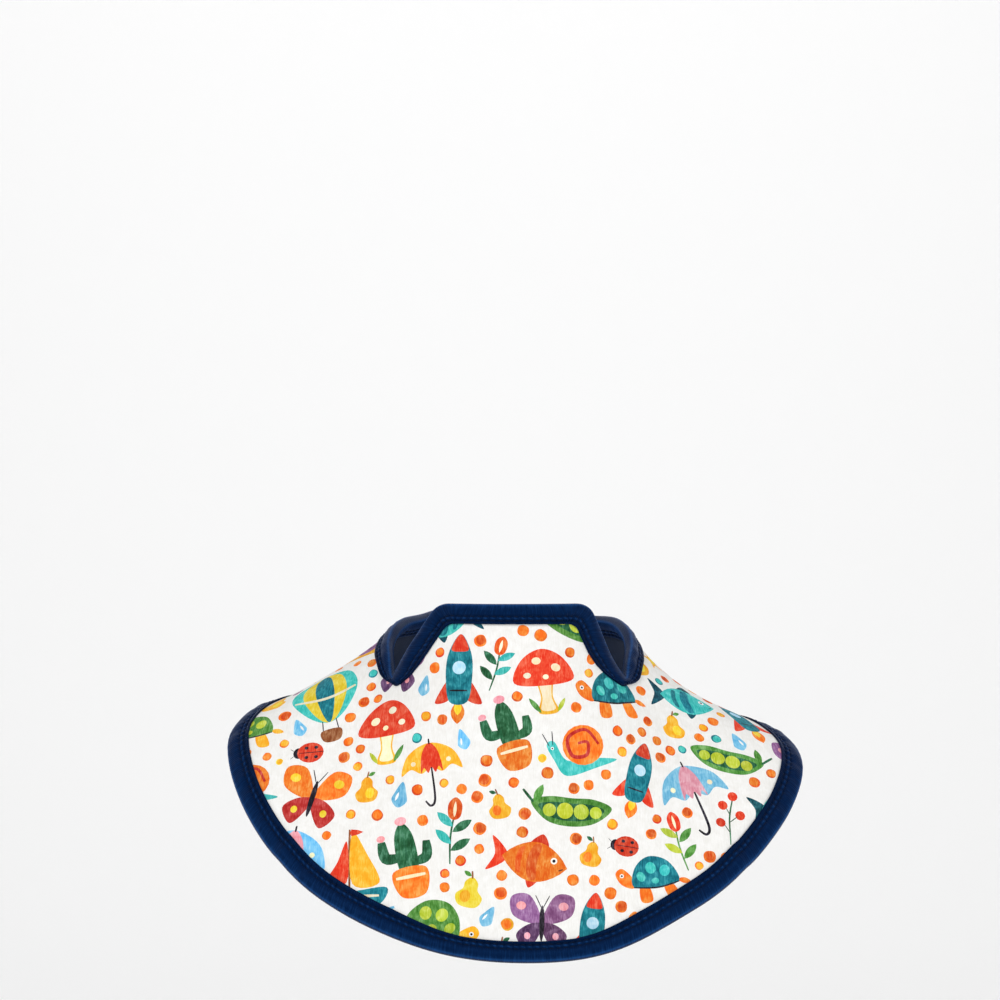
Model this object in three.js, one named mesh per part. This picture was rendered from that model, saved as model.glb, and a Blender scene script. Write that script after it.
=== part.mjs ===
// A thyroid shield collar: a padded bib with a throat flap and two wings that wrap the neck
// and close behind it. Millimetres, +Z up, +X to the viewer's right, the wearer faces -Y.
// The origin is on the neck's axis, level with the bottoms of the two neck notches.

import * as THREE from 'three';

// The collar's form, measured at the middle of its thickness.
const neckRadius = 57;
const neckRise = 28.5;
const hemReach = 134;
const frontDrop = 122.4;
const notchAngle = 59.6;
const wingOverlap = 26;
const flapHeight = 35.4;
const flapTopHalf = 33.4;
const flapLean = 8;
const flapBend = 8;
const flapCorner = 9;
const shoulderDip = 4.8;
const hemShift = 3.2;

// The layers, from the printed face to the neck, and the tape folded over their edge.
const panelWall = 1.6;
const liningWall = 1.0;
const tapeWall = 1.0;
const tapeWidth = 9.5;
const tapeAtNotch = 3.6;
const patchMargin = 2;
const layerGap = 0.35;
const wingGap = 0.6;

// How finely the sheet is divided.
const flapColumns = 10;
const wingColumns = 25;
const bibRows = 9;
const flapRows = 6;

// What follows from the sizes above.
const stack = panelWall + layerGap + liningWall;
const tapeUnder = stack / 2 + layerGap;
const tapeOver = tapeUnder + tapeWall;
const foldReach = layerGap + tapeWall;
const stripWidth = tapeWidth - foldReach;
const stripAtNotch = tapeAtNotch - foldReach;
const wingEnd = 180 + wingOverlap;
const overlapLift = 2 * tapeOver + wingGap;

// Sections through the collar from the front to behind the neck, the same on both sides.
// turn: 0 at the front, 1 at the notch, 2 behind the neck. The wings keep the last section.
// neck, hem: distance from the neck's axis, as shares of neckRadius and hemReach.
// rise, drop: height of the neckline and depth of the hem, as shares of neckRise and frontDrop.
// start, end: slope of the sheet below level at the neckline and at the hem, in degrees.
const sections = [
  { turn: 0.00, neck: 1.000, rise: 0.00, hem: 0.646, drop: 1.000, start: 80, end: 75 },
  { turn: 0.42, neck: 1.009, rise: 0.00, hem: 0.700, drop: 0.958, start: 78, end: 72 },
  { turn: 0.75, neck: 1.040, rise: 0.00, hem: 0.806, drop: 0.828, start: 69, end: 64 },
  { turn: 1.00, neck: 1.067, rise: 0.00, hem: 0.908, drop: 0.652, start: 58, end: 54 },
  { turn: 1.09, neck: 0.992, rise: 0.32, hem: 0.979, drop: 0.468, start: 50, end: 46 },
  { turn: 1.17, neck: 0.968, rise: 0.57, hem: 0.998, drop: 0.294, start: 50, end: 36 },
  { turn: 1.25, neck: 0.944, rise: 0.79, hem: 0.933, drop: 0.192, start: 54, end: 26 },
  { turn: 1.34, neck: 0.920, rise: 0.92, hem: 0.843, drop: 0.155, start: 56, end: 24 },
  { turn: 1.46, neck: 0.905, rise: 1.00, hem: 0.731, drop: 0.167, start: 56, end: 32 },
  { turn: 1.63, neck: 0.895, rise: 1.00, hem: 0.612, drop: 0.180, start: 60, end: 50 },
  { turn: 1.78, neck: 0.895, rise: 1.00, hem: 0.545, drop: 0.180, start: 68, end: 64 },
];

const radians = (degrees) => degrees * Math.PI / 180;

function easeStep(value) {
  const t = Math.min(Math.max(value, 0), 1);
  return t * t * (3 - 2 * t);
}

// A smooth curve through one column of the table, level at the front and behind the neck.
function tableValue(turn, column) {
  const last = sections.length - 1;
  const at = (k) => (k < 0 ? sections[1] : sections[Math.min(k, last)]);
  const turnAt = (k) => (k < 0 ? -sections[1].turn : at(k).turn);
  const slopeAt = (k) => (k === last ? 0
    : (at(k + 1)[column] - at(k - 1)[column]) / (turnAt(k + 1) - turnAt(k - 1)));
  if (turn >= sections[last].turn) {
    return sections[last][column];
  }
  let k = 0;
  while (sections[k + 1].turn < turn) {
    k += 1;
  }
  const span = turnAt(k + 1) - turnAt(k);
  const t = (turn - turnAt(k)) / span;
  const ease = t * t * (3 - 2 * t);
  return at(k)[column] * (1 - ease) + at(k + 1)[column] * ease
    + span * t * (1 - t) * ((1 - t) * slopeAt(k) - t * slopeAt(k + 1));
}

function turnOf(angle) {
  const size = Math.abs(angle);
  return size < notchAngle ? size / notchAngle : 1 + (size - notchAngle) / (180 - notchAngle);
}

function neckline(angle) {
  const turn = turnOf(angle);
  return {
    radius: neckRadius * tableValue(turn, 'neck'),
    height: neckRise * tableValue(turn, 'rise'),
    slope: radians(tableValue(turn, 'start')),
  };
}

// The section at one angle as a curve of (distance from the axis, height).
function sectionCurve(angle) {
  const turn = turnOf(angle);
  const neck = neckline(angle);
  const slopeAtHem = radians(tableValue(turn, 'end'));
  const top = new THREE.Vector2(neck.radius, neck.height);
  const bottom = new THREE.Vector2(
    hemReach * tableValue(turn, 'hem'),
    -frontDrop * tableValue(turn, 'drop'),
  );
  const reach = 0.36 * top.distanceTo(bottom);
  const leave = new THREE.Vector2(Math.cos(neck.slope), -Math.sin(neck.slope));
  const arrive = new THREE.Vector2(Math.cos(slopeAtHem), -Math.sin(slopeAtHem));
  return new THREE.CubicBezierCurve(
    top,
    top.clone().addScaledVector(leave, reach),
    bottom.clone().addScaledVector(arrive, -reach),
    bottom,
  );
}

// Round the neck's axis: one shoulder sits lower, and the bib hangs a little to one side.
function placed(angle, radius, height) {
  const size = Math.abs(angle);
  const x = radius * Math.sin(radians(angle));
  const y = -radius * Math.cos(radians(angle));
  const onShoulder = easeStep((Math.abs(x) / hemReach - 0.31) / 0.36) * easeStep((size - 35) / 45);
  const offNeck = easeStep((radius / hemReach - 0.46) / 0.3);
  const swing = 1 - easeStep((size - 5) / 50) + 0.4 * easeStep((size - 62) / 18);
  return new THREE.Vector3(
    x + hemShift * offNeck * swing,
    y,
    height - shoulderDip * Math.sign(x) * onShoulder,
  );
}

// The bib and wings at an angle, a length along the section from the neckline.
function onSection(angle, curve, length) {
  const share = Math.min(Math.max(length / curve.getLength(), 0), 1);
  const point = curve.getPointAt(share);
  return placed(angle, point.x, point.y);
}

// The flap's distance from the axis: it bends up from the bib, then leans to the throat.
function flapRadius(angle, height) {
  const neck = neckline(angle);
  const lean = Math.tan(radians(flapLean));
  const bend = (1 / Math.tan(neck.slope) - lean) * flapBend * (1 - Math.exp(-height / flapBend));
  return neck.radius - lean * height - bend;
}

// The angle at which the flap lies a given distance to the side of its middle.
function flapAngle(aside, height) {
  let angle = 0;
  for (let pass = 0; pass < 30; pass += 1) {
    const share = Math.min(aside / flapRadius(angle, height), 1);
    angle = Math.asin(share) * 180 / Math.PI;
  }
  return angle;
}

const notchAside = neckRadius * tableValue(1, 'neck') * Math.sin(radians(notchAngle));
const flapFlare = Math.atan((notchAside - flapTopHalf) / flapHeight);
const cornerTurn = Math.PI / 2 - flapFlare;
const cornerCut = flapCorner * Math.tan(cornerTurn / 2);

// How far a corner point moves along its cell's diagonal so that the corner is rounded.
const cornerPull = (turn) => 1 / (2 * (1 + Math.cos(turn / 2)));

// The middle columns of the net, and the two under the tape on each side of the flap.
const flapEdge = flapColumns / 2 + 2;
const lastColumn = flapEdge + wingColumns;

// Where a column of the flap lies at a height: evenly to the tape, then two steps under it.
function flapAside(column, height) {
  const edge = flapTopHalf + (notchAside - flapTopHalf) * (1 - height / flapHeight);
  const tape = edge - stripWidth / Math.cos(flapFlare);
  const cut = edge - cornerCut / Math.cos(flapFlare);
  return column <= flapEdge - 2 ? tape * column / (flapEdge - 2) : column < flapEdge ? cut : edge;
}

function flapLevel(row) {
  const tape = flapHeight - stripWidth;
  const cut = flapHeight - cornerCut;
  return row <= flapRows - 2 ? tape * row / (flapRows - 2) : row < flapRows ? cut : flapHeight;
}

// The tape narrows to a sliver where it turns round the bottom of a notch.
function neckStrip(angle) {
  const away = Math.abs(Math.abs(angle) - notchAngle);
  return stripAtNotch + (stripWidth - stripAtNotch) * easeStep(away / 10);
}

function flapPoint(column, row) {
  const height = flapLevel(row);
  const angle = flapAngle(flapAside(Math.abs(column), height), height);
  const radius = flapRadius(angle, height);
  const level = height + neckline(angle).height * (1 - height / flapHeight);
  return { position: placed(Math.sign(column) * angle, radius, level), lift: 0 };
}

function bibAngle(column, row) {
  if (column <= flapEdge) {
    return flapAngle(flapAside(column, 0), 0);
  }
  if (column === lastColumn) {
    return wingEnd;
  }
  const endRadius = sectionCurve(wingEnd).getPointAt(row / bibRows).x;
  const tapeAngle = stripWidth / endRadius * 180 / Math.PI;
  const share = (column - flapEdge) / (wingColumns - 1);
  return notchAngle + (wingEnd - tapeAngle - notchAngle) * share;
}

function bibPoint(column, row) {
  const angle = bibAngle(Math.abs(column), row);
  const curve = sectionCurve(angle);
  const length = curve.getLength();
  const top = neckStrip(angle);
  const even = top + (length - stripWidth - top) * (row - 1) / (bibRows - 2);
  const along = row === 0 ? 0 : row === bibRows ? length : even;
  const raise = column < 0 ? overlapLift * easeStep((angle - 112) / 38) : 0;
  return { position: onSection(Math.sign(column) * angle, curve, along), lift: raise };
}

// The tape covers a strip along the hem, the wings' ends, the neckline and the flap's edge.
function isTaped(column, row) {
  const outer = column < 0 ? -column - 1 : column;
  const onFlap = row < 0;
  const flapSide = onFlap && outer >= flapEdge - 2;
  const flapTop = row < 2 - flapRows;
  const neck = row === 0 && outer >= flapEdge;
  return flapSide || flapTop || neck || row === bibRows - 1 || outer === lastColumn - 1;
}

// The whole sheet as a net of triangles. Columns count from the middle, rows from the notch:
// rows below it follow the bib and wings, rows above it, counted below zero, the flap.
function collarNet() {
  const points = new Map();
  for (let column = -lastColumn; column <= lastColumn; column += 1) {
    for (let row = 0; row <= bibRows; row += 1) {
      points.set(`${column},${row}`, bibPoint(column, row));
    }
  }
  for (let column = -flapEdge; column <= flapEdge; column += 1) {
    for (let row = 1; row <= flapRows; row += 1) {
      points.set(`${column},${-row}`, flapPoint(column, row));
    }
  }

  function roundCorner(column, row, inward, down, turn) {
    const corner = points.get(`${column},${row}`);
    const across = points.get(`${column + inward},${row + down}`);
    corner.position.lerp(across.position, cornerPull(turn));
  }
  for (const side of [-1, 1]) {
    roundCorner(side * flapEdge, -flapRows, -side, 1, cornerTurn);
    roundCorner(side * lastColumn, 0, -side, 1, Math.PI / 2);
    roundCorner(side * lastColumn, bibRows, -side, -1, Math.PI / 2);
  }

  const triangles = [];
  for (let column = -lastColumn; column < lastColumn; column += 1) {
    const outer = column < 0 ? -column - 1 : column;
    const firstRow = outer < flapEdge ? -flapRows : 0;
    for (let row = firstRow; row < bibRows; row += 1) {
      const [a, b] = [`${column},${row}`, `${column},${row + 1}`];
      const [c, d] = [`${column + 1},${row + 1}`, `${column + 1},${row}`];
      const taped = isTaped(column, row);
      const notch = row === 0 && outer === flapEdge - 1;
      if (column >= 0) {
        triangles.push({ corners: [a, b, c], taped });
        triangles.push({ corners: [a, c, d], taped: taped || notch });
      } else {
        triangles.push({ corners: [a, b, d], taped: taped || notch });
        triangles.push({ corners: [b, c, d], taped });
      }
    }
  }
  setNormals(points, triangles);
  return { points, triangles };
}

// Each point's direction square to the sheet, the mean of the triangles that meet there.
function setNormals(points, triangles) {
  const at = (name) => points.get(name).position;
  for (const point of points.values()) {
    point.normal = new THREE.Vector3();
  }
  for (const { corners: [a, b, c] } of triangles) {
    const ab = at(b).clone().sub(at(a));
    const ac = at(c).clone().sub(at(a));
    const facing = ab.cross(ac);
    [a, b, c].forEach((name) => points.get(name).normal.add(facing));
  }
  for (const point of points.values()) {
    point.normal.normalize();
  }
}

// The edges that only one of the triangles has, in the triangles' own direction.
function rimOf(triangles) {
  const edges = new Map();
  for (const { corners } of triangles) {
    corners.forEach((from, k) => {
      const to = corners[(k + 1) % 3];
      if (!edges.delete(`${to}|${from}`)) {
        edges.set(`${from}|${to}`, [from, to]);
      }
    });
  }
  return edges;
}

// At each point of the sheet's edge, the way straight out of it within the sheet.
function outwardWays(points, rim) {
  const sides = new Map();
  for (const [from, to] of rim.values()) {
    const run = points.get(to).position.clone().sub(points.get(from).position).normalize();
    for (const name of [from, to]) {
      const way = run.clone().cross(points.get(name).normal).normalize();
      sides.set(name, [...(sides.get(name) || []), way]);
    }
  }
  const ways = new Map();
  for (const [name, [first, second]] of sides) {
    const mitre = first.clone().add(second).divideScalar(1 + first.dot(second));
    ways.set(name, mitre);
  }
  return ways;
}

// Collects the corners of a solid's triangles and turns them into a mesh.
class SolidMesh {
  constructor() {
    this.corners = [];
  }

  triangle(a, b, c) {
    this.corners.push(a, b, c);
  }

  quad(a, b, c, d) {
    this.triangle(a, b, c);
    this.triangle(a, c, d);
  }

  mesh(name, material) {
    const geometry = new THREE.BufferGeometry();
    geometry.setAttribute('position', new THREE.Float32BufferAttribute(
      this.corners.flatMap((corner) => corner.toArray()),
      3,
    ));
    geometry.computeVertexNormals();
    const mesh = new THREE.Mesh(geometry, material);
    mesh.name = name;
    return mesh;
  }
}

// A point of the net moved off the middle of the sheet, and out past its edge.
function offSheet(point, height, way = null, reach = 0) {
  const moved = point.position.clone().addScaledVector(point.normal, point.lift + height);
  return way ? moved.addScaledVector(way, reach) : moved;
}

// One layer of cloth between two heights off the middle of the sheet.
function layer(net, inner, outer) {
  const solid = new SolidMesh();
  const at = (name, height) => offSheet(net.points.get(name), height);
  for (const { corners: [a, b, c] } of net.triangles) {
    solid.triangle(at(a, outer), at(b, outer), at(c, outer));
    solid.triangle(at(a, inner), at(c, inner), at(b, inner));
  }
  for (const [from, to] of rimOf(net.triangles).values()) {
    solid.quad(at(from, outer), at(from, inner), at(to, inner), at(to, outer));
  }
  return solid;
}

// The tape: a leg on each face of the sheet, joined by a fold round the sheet's edge.
function foldedTape(net) {
  const solid = new SolidMesh();
  const taped = net.triangles.filter((triangle) => triangle.taped);
  const rim = rimOf(net.triangles);
  const ways = outwardWays(net.points, rim);
  const at = (name, [reach, height]) => offSheet(net.points.get(name), height, ways.get(name), reach);
  const flat = (name, height) => offSheet(net.points.get(name), height);
  const outerFold = [
    [0, tapeOver],
    [foldReach / 2, tapeOver],
    [foldReach, tapeOver / 2],
    [foldReach, -tapeOver / 2],
    [foldReach / 2, -tapeOver],
    [0, -tapeOver],
  ];
  const innerFold = [
    [0, tapeUnder],
    [layerGap, tapeUnder],
    [layerGap, -tapeUnder],
    [0, -tapeUnder],
  ];

  function strips(from, to, profile, reversed) {
    for (let k = 0; k + 1 < profile.length; k += 1) {
      const [start, next] = [profile[k], profile[k + 1]];
      const corners = [at(from, start), at(from, next), at(to, next), at(to, start)];
      solid.quad(...(reversed ? corners.reverse() : corners));
    }
  }

  for (const { corners: [a, b, c] } of taped) {
    for (const height of [tapeOver, -tapeUnder]) {
      solid.triangle(flat(a, height), flat(b, height), flat(c, height));
      solid.triangle(flat(a, -height), flat(c, -height), flat(b, -height));
    }
  }
  for (const [key, [from, to]] of rimOf(taped)) {
    if (rim.has(key)) {
      strips(from, to, outerFold, false);
      strips(from, to, innerFold, true);
    } else {
      for (const [top, bottom] of [[tapeOver, tapeUnder], [-tapeUnder, -tapeOver]]) {
        solid.quad(flat(from, top), flat(from, bottom), flat(to, bottom), flat(to, top));
      }
    }
  }
  return solid;
}

// The hook-and-loop patch that holds the outer wing on the inner one, behind the neck.
function closurePatch() {
  const columns = 8;
  const rows = 4;
  const curve = sectionCurve(180);
  const edge = stripWidth + patchMargin;
  const points = new Map();
  for (let column = 0; column <= columns; column += 1) {
    for (let row = 0; row <= rows; row += 1) {
      const along = edge + (curve.getLength() - 2 * edge) * row / rows;
      const radius = curve.getPointAt(along / curve.getLength()).x;
      const half = wingOverlap - edge / radius * 180 / Math.PI;
      const angle = 180 + half * (2 * column / columns - 1);
      points.set(`${column},${row}`, { position: onSection(angle, curve, along), lift: 0 });
    }
  }
  const triangles = [];
  for (let column = 0; column < columns; column += 1) {
    for (let row = 0; row < rows; row += 1) {
      const [a, b] = [`${column},${row}`, `${column},${row + 1}`];
      const [c, d] = [`${column + 1},${row + 1}`, `${column + 1},${row}`];
      triangles.push({ corners: [a, b, c] }, { corners: [a, c, d] });
    }
  }
  setNormals(points, triangles);
  const inner = stack / 2 + wingGap;
  return layer({ points, triangles }, inner, overlapLift - inner);
}

const cloth = (color, roughness) => new THREE.MeshStandardMaterial({ color, roughness, metalness: 0 });
const net = collarNet();
const collar = new THREE.Group();
collar.add(layer(net, stack / 2 - panelWall, stack / 2).mesh('shield_panel', cloth(0xf2efe8, 0.85)));
collar.add(layer(net, -stack / 2, liningWall - stack / 2).mesh('inner_lining', cloth(0x101b33, 0.9)));
collar.add(foldedTape(net).mesh('edge_binding', cloth(0x0c2247, 0.75)));
collar.add(closurePatch().mesh('back_closure', cloth(0x15171c, 0.95)));

export default collar;
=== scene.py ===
import math
import random

import bmesh
import bpy
import numpy as np
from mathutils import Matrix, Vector
from mathutils.bvhtree import BVHTree
from mathutils.geometry import delaunay_2d_cdt


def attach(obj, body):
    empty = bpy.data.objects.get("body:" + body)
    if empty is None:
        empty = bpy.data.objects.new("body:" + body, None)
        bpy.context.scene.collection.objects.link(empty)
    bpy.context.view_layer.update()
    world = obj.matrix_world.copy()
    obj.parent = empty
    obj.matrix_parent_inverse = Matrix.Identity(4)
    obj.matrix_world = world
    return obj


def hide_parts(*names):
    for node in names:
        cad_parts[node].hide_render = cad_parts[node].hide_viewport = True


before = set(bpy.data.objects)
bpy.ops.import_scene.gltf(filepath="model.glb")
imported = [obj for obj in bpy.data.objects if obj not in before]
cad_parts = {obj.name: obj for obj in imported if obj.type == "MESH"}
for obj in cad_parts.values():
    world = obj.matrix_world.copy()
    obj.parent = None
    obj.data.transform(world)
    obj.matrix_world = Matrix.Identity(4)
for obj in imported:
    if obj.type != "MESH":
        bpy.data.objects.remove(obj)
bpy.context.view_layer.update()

# The collar's shape. It is cut flat as a broad bib with a flap at the throat and two long
# wings, and worn it stands round the neck and lies on the chest and shoulders. The sheet is
# followed by columns round the neck and rows from the notches: down to the hem, up the flap.
neck_radius = 0.057
neck_rise = 0.0285
hem_reach = 0.134
front_drop = 0.1224
notch_angle = 59.6
wing_overlap = 26
flap_height = 0.0354
flap_top_half = 0.0334
flap_lean = 8
flap_bend = 0.008
flap_corner = 0.0066
shoulder_dip = 0.0048
hem_shift = 0.0032
tape_over = 0.002825
fold_reach = 0.00135
strip_width = 0.0095 - fold_reach
strip_at_notch = 0.0036 - fold_reach
wing_end = 180 + wing_overlap
overlap_lift = 2 * tape_over + 0.0006

# Each row is one section. Its turn is 0 at the front, 1 at the notch and would be 2 at the nape.
# The neckline's radius and rise and the hem's reach and drop are shares of the sizes above. The
# last two are the slopes, in degrees, at which the section leaves the neckline and meets the hem.
section_names = ("turn", "neck", "rise", "hem", "drop", "start", "end")
section_rows = [
    (0.00, 1.000, 0.00, 0.646, 1.000, 80, 75),
    (0.42, 1.009, 0.00, 0.700, 0.958, 78, 72),
    (0.75, 1.040, 0.00, 0.806, 0.828, 69, 64),
    (1.00, 1.067, 0.00, 0.908, 0.652, 58, 54),
    (1.09, 0.992, 0.32, 0.979, 0.468, 50, 46),
    (1.17, 0.968, 0.57, 0.998, 0.294, 50, 36),
    (1.25, 0.944, 0.79, 0.933, 0.192, 54, 26),
    (1.34, 0.920, 0.92, 0.843, 0.155, 56, 24),
    (1.46, 0.905, 1.00, 0.731, 0.167, 56, 32),
    (1.63, 0.895, 1.00, 0.612, 0.180, 60, 50),
    (1.78, 0.895, 1.00, 0.545, 0.180, 68, 64),
]
section_table = {name: np.array(values) for name, values in zip(section_names, zip(*section_rows))}

flap_columns = 5
flap_edge = flap_columns + 2
wing_columns = 25
last_column = flap_edge + wing_columns
bib_rows = 9
flap_rows = 6


def ease(value):
    t = np.clip(value, 0, 1)
    return t * t * (3 - 2 * t)


def unit(ways):
    return ways / np.linalg.norm(ways, axis=-1, keepdims=True)


def doubled_area(p, q, r):
    """Twice the area of flat triangles, positive where they face up."""
    return (q[:, 0] - p[:, 0]) * (r[:, 1] - p[:, 1]) - (q[:, 1] - p[:, 1]) * (r[:, 0] - p[:, 0])


def table_value(turn, name):
    x = section_table["turn"]
    y = section_table[name]
    slope = np.zeros_like(y)
    slope[1:-1] = (y[2:] - y[:-2]) / (x[2:] - x[:-2])
    turn = np.minimum(turn, x[-1])
    k = np.clip(np.searchsorted(x, turn, side="right") - 1, 0, len(x) - 2)
    span = x[k + 1] - x[k]
    t = (turn - x[k]) / span
    smooth = y[k] * (1 - ease(t)) + y[k + 1] * ease(t)
    return smooth + span * t * (1 - t) * ((1 - t) * slope[k] - t * slope[k + 1])


def turn_of(angle):
    size = np.abs(angle)
    wing = 1 + (size - notch_angle) / (180 - notch_angle)
    return np.where(size < notch_angle, size / notch_angle, wing)


def neckline(angle):
    turn = turn_of(angle)
    radius = neck_radius * table_value(turn, "neck")
    height = neck_rise * table_value(turn, "rise")
    return radius, height, np.radians(table_value(turn, "start"))


def section_curve(angle, samples=49):
    """The section at each angle as points of (distance from the neck's axis, height)."""
    turn = turn_of(angle)
    radius, height, start = neckline(angle)
    end = np.radians(table_value(turn, "end"))
    top = np.stack([radius, height], -1)
    bottom = np.stack([hem_reach * table_value(turn, "hem"),
                       -front_drop * table_value(turn, "drop")], -1)
    reach = 0.36 * np.linalg.norm(bottom - top, axis=-1)[..., None]
    leave = top + reach * np.stack([np.cos(start), -np.sin(start)], -1)
    arrive = bottom - reach * np.stack([np.cos(end), -np.sin(end)], -1)
    t = np.linspace(0, 1, samples)[:, None]
    ways = [top[..., None, :], leave[..., None, :], arrive[..., None, :], bottom[..., None, :]]
    weights = [(1 - t) ** 3, 3 * (1 - t) ** 2 * t, 3 * (1 - t) * t * t, t ** 3]
    return sum(w * p for w, p in zip(weights, ways))


def along_curve(curve, length):
    """The points a given length down each curve, and the curves' whole lengths."""
    steps = np.linalg.norm(np.diff(curve, axis=-2), axis=-1)
    run = np.concatenate([np.zeros_like(steps[..., :1]), np.cumsum(steps, -1)], -1)
    whole = run[..., -1]
    length = np.clip(length, 0, whole)
    k = np.clip((run < length[..., None]).sum(-1) - 1, 0, steps.shape[-1] - 1)[..., None]
    share = (length[..., None] - np.take_along_axis(run, k, -1)) / np.take_along_axis(steps, k, -1)
    here = np.take_along_axis(curve, k[..., None], -2)[..., 0, :]
    there = np.take_along_axis(curve, k[..., None] + 1, -2)[..., 0, :]
    return here + (there - here) * share, whole


def placed(angle, radius, height):
    """One shoulder sits lower than the other, and the bib hangs a little to one side."""
    size = np.abs(angle)
    x = radius * np.sin(np.radians(angle))
    y = -radius * np.cos(np.radians(angle))
    on_shoulder = ease((np.abs(x) / hem_reach - 0.31) / 0.36) * ease((size - 35) / 45)
    off_neck = ease((radius / hem_reach - 0.46) / 0.3)
    swing = 1 - ease((size - 5) / 50) + 0.4 * ease((size - 62) / 18)
    return np.stack([x + hem_shift * off_neck * swing, y,
                     height - shoulder_dip * np.sign(x) * on_shoulder], -1)


def flap_radius(angle, height):
    radius, _, start = neckline(angle)
    lean = math.tan(math.radians(flap_lean))
    bend = (1 / np.tan(start) - lean) * flap_bend * (1 - np.exp(-height / flap_bend))
    return radius - lean * height - bend


def flap_angle(aside, height):
    angle = np.zeros(np.broadcast(aside, height).shape)
    for _ in range(30):
        angle = np.degrees(np.arcsin(np.minimum(aside / flap_radius(angle, height), 1)))
    return angle


notch_aside = neck_radius * float(table_value(1.0, "neck")) * math.sin(math.radians(notch_angle))
flap_flare = math.atan((notch_aside - flap_top_half) / flap_height)
corner_turn = math.pi / 2 - flap_flare
corner_cut = flap_corner * math.tan(corner_turn / 2)


def flap_aside(column, height):
    edge = flap_top_half + (notch_aside - flap_top_half) * (1 - height / flap_height)
    tape = edge - strip_width / math.cos(flap_flare)
    cut = edge - corner_cut / math.cos(flap_flare)
    under = np.where(column < flap_edge - 1, tape + (cut - tape) * (column - flap_columns),
                     cut + (edge - cut) * (column - flap_edge + 1))
    return np.where(column <= flap_columns, tape * column / flap_columns, under)


def flap_level(row):
    tape = flap_height - strip_width
    cut = flap_height - corner_cut
    even = tape * row / (flap_rows - 2)
    under = np.where(row < flap_rows - 1, tape + (cut - tape) * (row - flap_rows + 2),
                     cut + (flap_height - cut) * (row - flap_rows + 1))
    return np.where(row <= flap_rows - 2, even, under)


def bib_angle(column, row):
    end_curve = section_curve(np.full(1, float(wing_end)))
    whole = along_curve(end_curve, np.zeros(1))[1]
    end_radius = along_curve(np.repeat(end_curve, row.size, 0), whole * row.ravel() / bib_rows)[0][:, 0]
    tape_angle = np.degrees(strip_width / end_radius).reshape(row.shape)
    last_even = wing_end - tape_angle
    even = notch_angle + (last_even - notch_angle) * (column - flap_edge) / (wing_columns - 1)
    under = last_even + tape_angle * (column - last_column + 1)
    wing = np.where(column <= last_column - 1, even, under)
    front = flap_angle(flap_aside(np.minimum(column, flap_edge), 0.0), 0.0)
    return np.where(column <= flap_edge, front, wing)


def bib_along(angle, whole, row):
    away = np.abs(np.abs(angle) - notch_angle)
    top = strip_at_notch + (strip_width - strip_at_notch) * ease(away / 10)
    last = whole - strip_width
    even = top + (last - top) * (row - 1) / (bib_rows - 2)
    lower = np.where(row <= bib_rows - 1, even, last + strip_width * (row - bib_rows + 1))
    return np.where(row < 1, top * row, lower)


def settled(points, angle, down):
    """The collar sits a little askew: the throat is pulled to one side and the hem hangs unevenly."""
    x, y, z = points[..., 0], points[..., 1], points[..., 2]
    size = np.abs(angle)
    level = np.exp(-((z - 0.010) / 0.017) ** 2) * (1 - ease((size - 95) / 40))
    pull = 0.0026 + 0.0011 * ease((-angle - 58) / 14) - 0.0026 * ease((angle - 58) / 14)
    crest = 0.0015 * ease((size - 72) / 18) * (1 - ease((size - 125) / 35)) * (1 - ease(down / 0.5))
    sag = 0.0018 * np.exp(-((angle + 56) / 14) ** 2) + 0.0015 * np.exp(-((angle - 30) / 22) ** 2)
    spread = 0.0014 * np.exp(-((angle + 64) / 18) ** 2) * ease(down)
    return np.stack([x - pull * level - spread, y, z - crest - sag * ease(down)], -1)


# The worn sheet and its flat cut, sampled finely. The flat cut unrolls the sheet along a
# guide line half way down it, so that the print lies on it without being stretched.
fine = 4  # samples to a column or a row
column_steps = np.arange(-last_column * fine, last_column * fine + 1) / fine
row_steps = np.arange(0, bib_rows * fine + 1) / fine
flap_steps = np.arange(0, flap_rows * fine + 1) / fine
columns, rows = np.meshgrid(column_steps, row_steps, indexing="ij")
size = bib_angle(np.abs(columns), rows)
bib_angles = np.sign(columns) * size
curve = section_curve(size)
whole = along_curve(curve, np.zeros(size.shape))[1]
along = bib_along(size, whole, rows)
profile = along_curve(curve, along)[0]
bib_base = settled(placed(bib_angles, profile[..., 0], profile[..., 1]), bib_angles, along / whole)
bib_lift = np.where(bib_angles < 0, overlap_lift * ease((size - 112) / 38), 0)

flap_column_steps = np.arange(-flap_edge * fine, flap_edge * fine + 1) / fine
flap_cols, flap_ups = np.meshgrid(flap_column_steps, flap_steps, indexing="ij")
flap_heights = flap_level(flap_ups)
flap_sizes = flap_angle(flap_aside(np.abs(flap_cols), flap_heights), flap_heights)
flap_angles = np.sign(flap_cols) * flap_sizes
flap_base_height = neckline(flap_sizes)[1] * (1 - flap_heights / flap_height) + flap_heights
flap_base = settled(placed(flap_angles, flap_radius(flap_sizes, flap_heights), flap_base_height),
                    flap_angles, np.zeros(flap_angles.shape))


def facing(base, down):
    across = np.gradient(base, axis=0, edge_order=2)
    return unit(np.cross(down * np.gradient(base, axis=1, edge_order=2), across))


bib_facing = facing(bib_base, 1)
flap_facing = facing(flap_base, -1)
middle = slice((last_column - flap_edge) * fine, (last_column + flap_edge) * fine + 1)
shared = unit(bib_facing[middle, 0] + flap_facing[:, 0])
bib_facing[middle, 0] = shared
flap_facing[:, 0] = shared


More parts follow.
